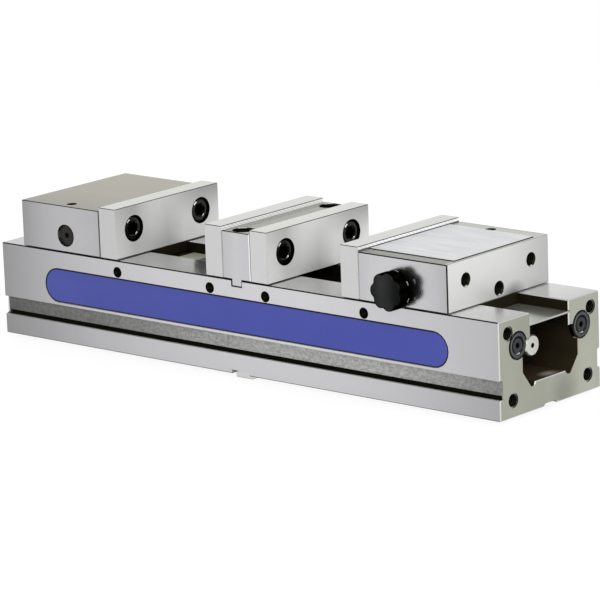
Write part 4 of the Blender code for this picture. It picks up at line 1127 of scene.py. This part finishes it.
def make_leadscrew(skins):
    """A turned shaft with a drive hexagon at its left end, and a left-hand and a right-hand thread."""
    crest, root, journal = 0.0080, 0.0064, 0.0070
    left_end, right_end = -0.2030, 0.2020
    profile = [
        (0.0063, left_end - 0.0003),
        (journal, left_end + 0.0004),
        (journal, left_end + 0.0110),
        (root, left_end + 0.0116),
        (root, -0.0240),
        (crest, -0.0224),
        (crest, 0.0224),
        (root, 0.0240),
        (root, right_end - 0.0116),
        (journal, right_end - 0.0110),
        (journal, right_end - 0.0008),
        (0.0062, right_end),
        (0.0016, right_end),
        (0.0012, right_end - 0.0004),
        (0.0010, right_end - 0.0030),
    ]
    shaft = smooth(turned("shaft", 64, profile))
    drive_across, drive_length, drive_root = 0.0130, 0.0115, 0.0010
    drive = hexagon(drive_across, left_end - drive_length, left_end + drive_root)
    bpy.ops.object.transform_apply(location=True)
    bevelled(drive, 0.0005)
    right_start, left_start = 0.0250, -0.1900
    coils = []
    for hand, place in ((1, right_start), (-1, left_start)):
        coil = thread(crest, pitch=0.0050, turns=33, depth=0.0017, hand=hand)
        coil.location.z = place
        focus(coil)
        bpy.ops.object.transform_apply(location=True)
        coils.append(smooth(coil))
    joined(shaft, drive, *coils)
    axis = Vector((0, 0, SCREW_HEIGHT))
    dress = (skins["turned"],)
    settle(shaft, "leadscrew_threaded", axis, "+X", "leadscrew", dress, ["leadscrew"])


# Tapped holes


def make_tapped_holes(skins):
    """Thread ridges inside the tapped holes of the bed and the jaws, each starting a little way in."""
    side_thread = thread(0.00362, pitch=0.00125, turns=8, depth=0.0005, steps=20)
    end_thread = thread(0.00412, pitch=0.00150, turns=9, depth=0.0006, steps=20)
    jaw_thread = thread(0.00470, pitch=0.00150, turns=8, depth=0.0006, steps=20)
    side_start = HALF_WIDTH - 0.0009
    end_start = HALF_LENGTH - 0.0016
    jaw_start = JAW_LENGTH - 0.0009
    dress = (skins["tapped"],)
    for place, y, facing in (("front", -side_start, "+Y"), ("rear", side_start, "-Y")):
        for number, x in enumerate(SIDE_HOLES, 1):
            name = f"side_hole_thread_{place}_{number}"
            spot = Vector((x, y, SIDE_HOLE_HEIGHT))
            settle(copy_of(side_thread), name, spot, facing, "bed", dress, [])
    for place, x, facing in (("left", -end_start, "+X"), ("right", end_start, "-X")):
        spots = [Vector((x, sign * out, height)) for out, height in END_HOLES for sign in (-1, 1)]
        for number, spot in enumerate(spots, 1):
            name = f"{place}_end_hole_thread_{number}"
            settle(copy_of(end_thread), name, spot, facing, "bed", dress, [])
    for place, facing in (("left", "+X"), ("right", "-X")):
        for number, (across, height) in enumerate(JAW_HOLES, 1):
            name = f"{place}_jaw_hole_thread_{number}"
            spot = jaw_spot(place, jaw_start, across, height)
            settle(copy_of(jaw_thread), name, spot, facing, place + "_jaw", dress, [])
    for pattern in (side_thread, end_thread, jaw_thread):
        bpy.data.objects.remove(pattern)


def make_countersinks(skins):
    """Countersunk rings in the mouths of the tapped holes in the jaws' ends, dark, with a painted highlight on
    their lower side.
    """
    radius = 0.00478
    ring = turned("countersink", 48, [(radius, -0.0009), (radius, -0.0001)])
    cone = {"radius1": 0.0038, "radius2": 0.0050, "depth": 0.0016, "location": (0, 0, -0.0005)}
    carve(ring, start(bpy.ops.mesh.primitive_cone_add, vertices=48, **cone))
    smooth(ring)
    for place, facing in (("left", "-X"), ("right", "+X")):
        for number, (across, height) in enumerate(JAW_HOLES, 1):
            name = f"{place}_jaw_countersink_{number}"
            spot = jaw_spot(place, JAW_LENGTH, across, height)
            settle(copy_of(ring), name, spot, facing, place + "_jaw", (skins["sunk"],), [])
    bpy.data.objects.remove(ring)


def dress_nodes(skins):
    """Finishes for the solids that are shown as they are."""
    dressed = {
        "bed": "bed",
        "left_chip_cover": "cover",
        "right_chip_cover": "cover",
        "locating_key_front": "bright",
        "locating_key_rear": "bright",
        "centre_jaw_block": "jaw",
        "centre_left_plate": "plate",
        "centre_right_plate": "plate",
        "screw_bearing_block": "iron",
        "left_thrust_washer": "bronze",
        "right_thrust_washer": "bronze",
        "left_screw_collar": "oxide",
        "right_screw_collar": "oxide",
        "left_jaw_block": "jaw_tan",
        "left_jaw_plate": "plate",
        "left_nut": "nut",
        "left_half_ball": "stop",
        "right_jaw_block": "jaw_panel",
        "right_jaw_plate": "plate",
        "right_nut": "nut",
        "right_half_ball": "stop",
        "brake_stud": "oxide",
        "brake_shoe": "bronze",
    }
    for node, skin in dressed.items():
        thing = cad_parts[node]
        thing.data.materials.clear()
        thing.data.materials.append(skins[skin])


# Stage, light and camera


def make_stage():
    """A white floor that keeps shadows, and shows plain white to the camera and in reflections."""
    clear_of_keys = 0.0001
    ground = start(bpy.ops.mesh.primitive_plane_add, size=30, location=(0, 0, -KEY_PROUD - clear_of_keys))
    ground.name = "floor"
    skin = Skin("floor_paper", (0.97, 0.97, 0.97), 0.8)
    skin.finish(0.99 + skin.noise(40.0, 2.0, 0.5) * 0.02)
    glow = skin.node("ShaderNodeEmission", {}, {"Color": (1, 1, 1, 1), "Strength": 1.05})
    seen, mirrored = (skin.node("ShaderNodeLightPath", out=f"Is {ray} Ray") for ray in ("Camera", "Glossy"))
    share = skin.maths("MINIMUM", seen + mirrored, 0.82)
    paper = Signal(skin, skin.shader.outputs[0])
    mixed = skin.node("ShaderNodeMixShader", {}, {0: share, 1: paper, 2: glow})
    skin.feed(skin.tree.nodes["Material Output"].inputs[0], mixed)
    ground.data.materials.append(skin.material)


def make_world():
    """White to the camera; for light and reflections, white up to half height under a dimmer ceiling."""
    world = bpy.data.worlds.new("studio")
    bpy.context.scene.world = world
    world.use_nodes = True
    sky = Nodes(world.node_tree)
    _, _, height = sky.parts(sky.node("ShaderNodeTexCoord", out="Generated"))
    dome = sky.ramp(height, ((0.0, 1.0), (0.45, 1.0), (0.75, 0.60), (1.0, 0.50)))
    seen = sky.node("ShaderNodeLightPath", out="Is Camera Ray")
    sky.feed(sky.tree.nodes["Background"].inputs["Color"], sky.blend(seen, dome, (1.0, 1.0, 1.0)))


def lamp(name, spot, aim_height, size, power):
    """A rectangular lamp that looks at a height above the middle of the bed."""
    light = bpy.data.lights.new(name, "AREA")
    light.shape = "RECTANGLE"
    light.size, light.size_y = size
    light.energy = power
    thing = bpy.data.objects.new(name, light)
    bpy.context.collection.objects.link(thing)
    thing.location = spot
    aim = Vector((0, 0, aim_height))
    thing.rotation_euler = (aim - Vector(spot)).to_track_quat("-Z", "Y").to_euler()


def make_light():
    lamp("top_bank", (0.0, 0.2, 2.2), 0.03, (1.6, 1.2), 4.5)
    lamp("front_bank", (1.6, -1.8, 1.2), 0.03, (1.4, 1.0), 18)
    lamp("side_strip", (2.4, 0.1, 0.75), 0.05, (0.08, 1.4), 8)
    lamp("glint_lamp", (1.35, 0.05, 1.85), 0.05, (0.25, 0.25), 5)


def make_camera():
    """The photograph's place and angle, with a slight turn of the frame."""
    focal_pixels, frame_pixels = 3990, 600
    place = Vector((1.7006, -1.9225, 0.6520))
    heading, dip, tilt = (math.radians(angle) for angle in (41.35, 13.42, 2.16))
    camera = bpy.data.objects.new("camera", bpy.data.cameras.new("camera"))
    bpy.context.collection.objects.link(camera)
    camera.data.sensor_width = 36
    camera.data.lens = focal_pixels / frame_pixels * camera.data.sensor_width
    camera.data.clip_start = 0.05
    camera.data.clip_end = 100
    turn = Matrix.Rotation(heading, 4, "Z") @ Matrix.Rotation(math.pi / 2 - dip, 4, "X")
    camera.matrix_world = Matrix.Translation(place) @ turn @ Matrix.Rotation(-tilt, 4, "Z")
    bpy.context.scene.camera = camera


def make_skins():
    return {
        "bed": bed_steel(),
        "jaw": centre_steel(),
        "jaw_tan": left_jaw_steel(),
        "jaw_panel": right_jaw_steel(),
        "plate": plate_steel(),
        "bright": bright_steel(),
        "cover": cover_steel(),
        "nut": nut_steel(),
        "turned": screw_steel(),
        # Both heads' finishes carry a painted highlight on the rounded edge; the second, paler, is the flat
        # ring's painted sheen
        "oxide": oxide("black_oxide", BLACK_OXIDE, 0.24, 1.0, "outer"),
        "ring_sheen": oxide("rubbed_oxide", RING_SHEEN_OXIDE, 0.22, 1.0, "outer"),
        "sunk": oxide("countersunk_steel", DARK_LINE, 0.30, 1.0, "inner"),
        "plug": oxide("plug_oxide", (0.014, 0.012, 0.010), 0.45, 0.2, Specular_IOR_Level=0.25),
        "stop": oxide("stop_disc_oxide", BLUE_STEEL, 0.26, 1.0),
        "stop_head": oxide("stop_screw_oxide", (0.036, 0.043, 0.045), 0.26, 1.0),
        "tapped": oxide("tapped_steel", (0.016, 0.017, 0.010), 0.30, 1.0),
        # The bearing block inside the channel, painted in shadow
        "iron": oxide("dark_iron", SHADOW_BROWN, 0.6, 0.3),
        "knob": knob_plastic(),
        "knob_glint": knob_glint(),
        "label": label_print(),
        "bronze": bronze(),
    }


def main():
    skins = make_skins()
    dress_nodes(skins)
    make_nameplate(skins)
    make_fasteners(skins)
    make_stops(skins)
    make_knob(skins)
    make_leadscrew(skins)
    make_tapped_holes(skins)
    make_countersinks(skins)
    make_stage()
    make_world()
    make_light()
    make_camera()
    bpy.context.scene.view_settings.view_transform = "Standard"


main()
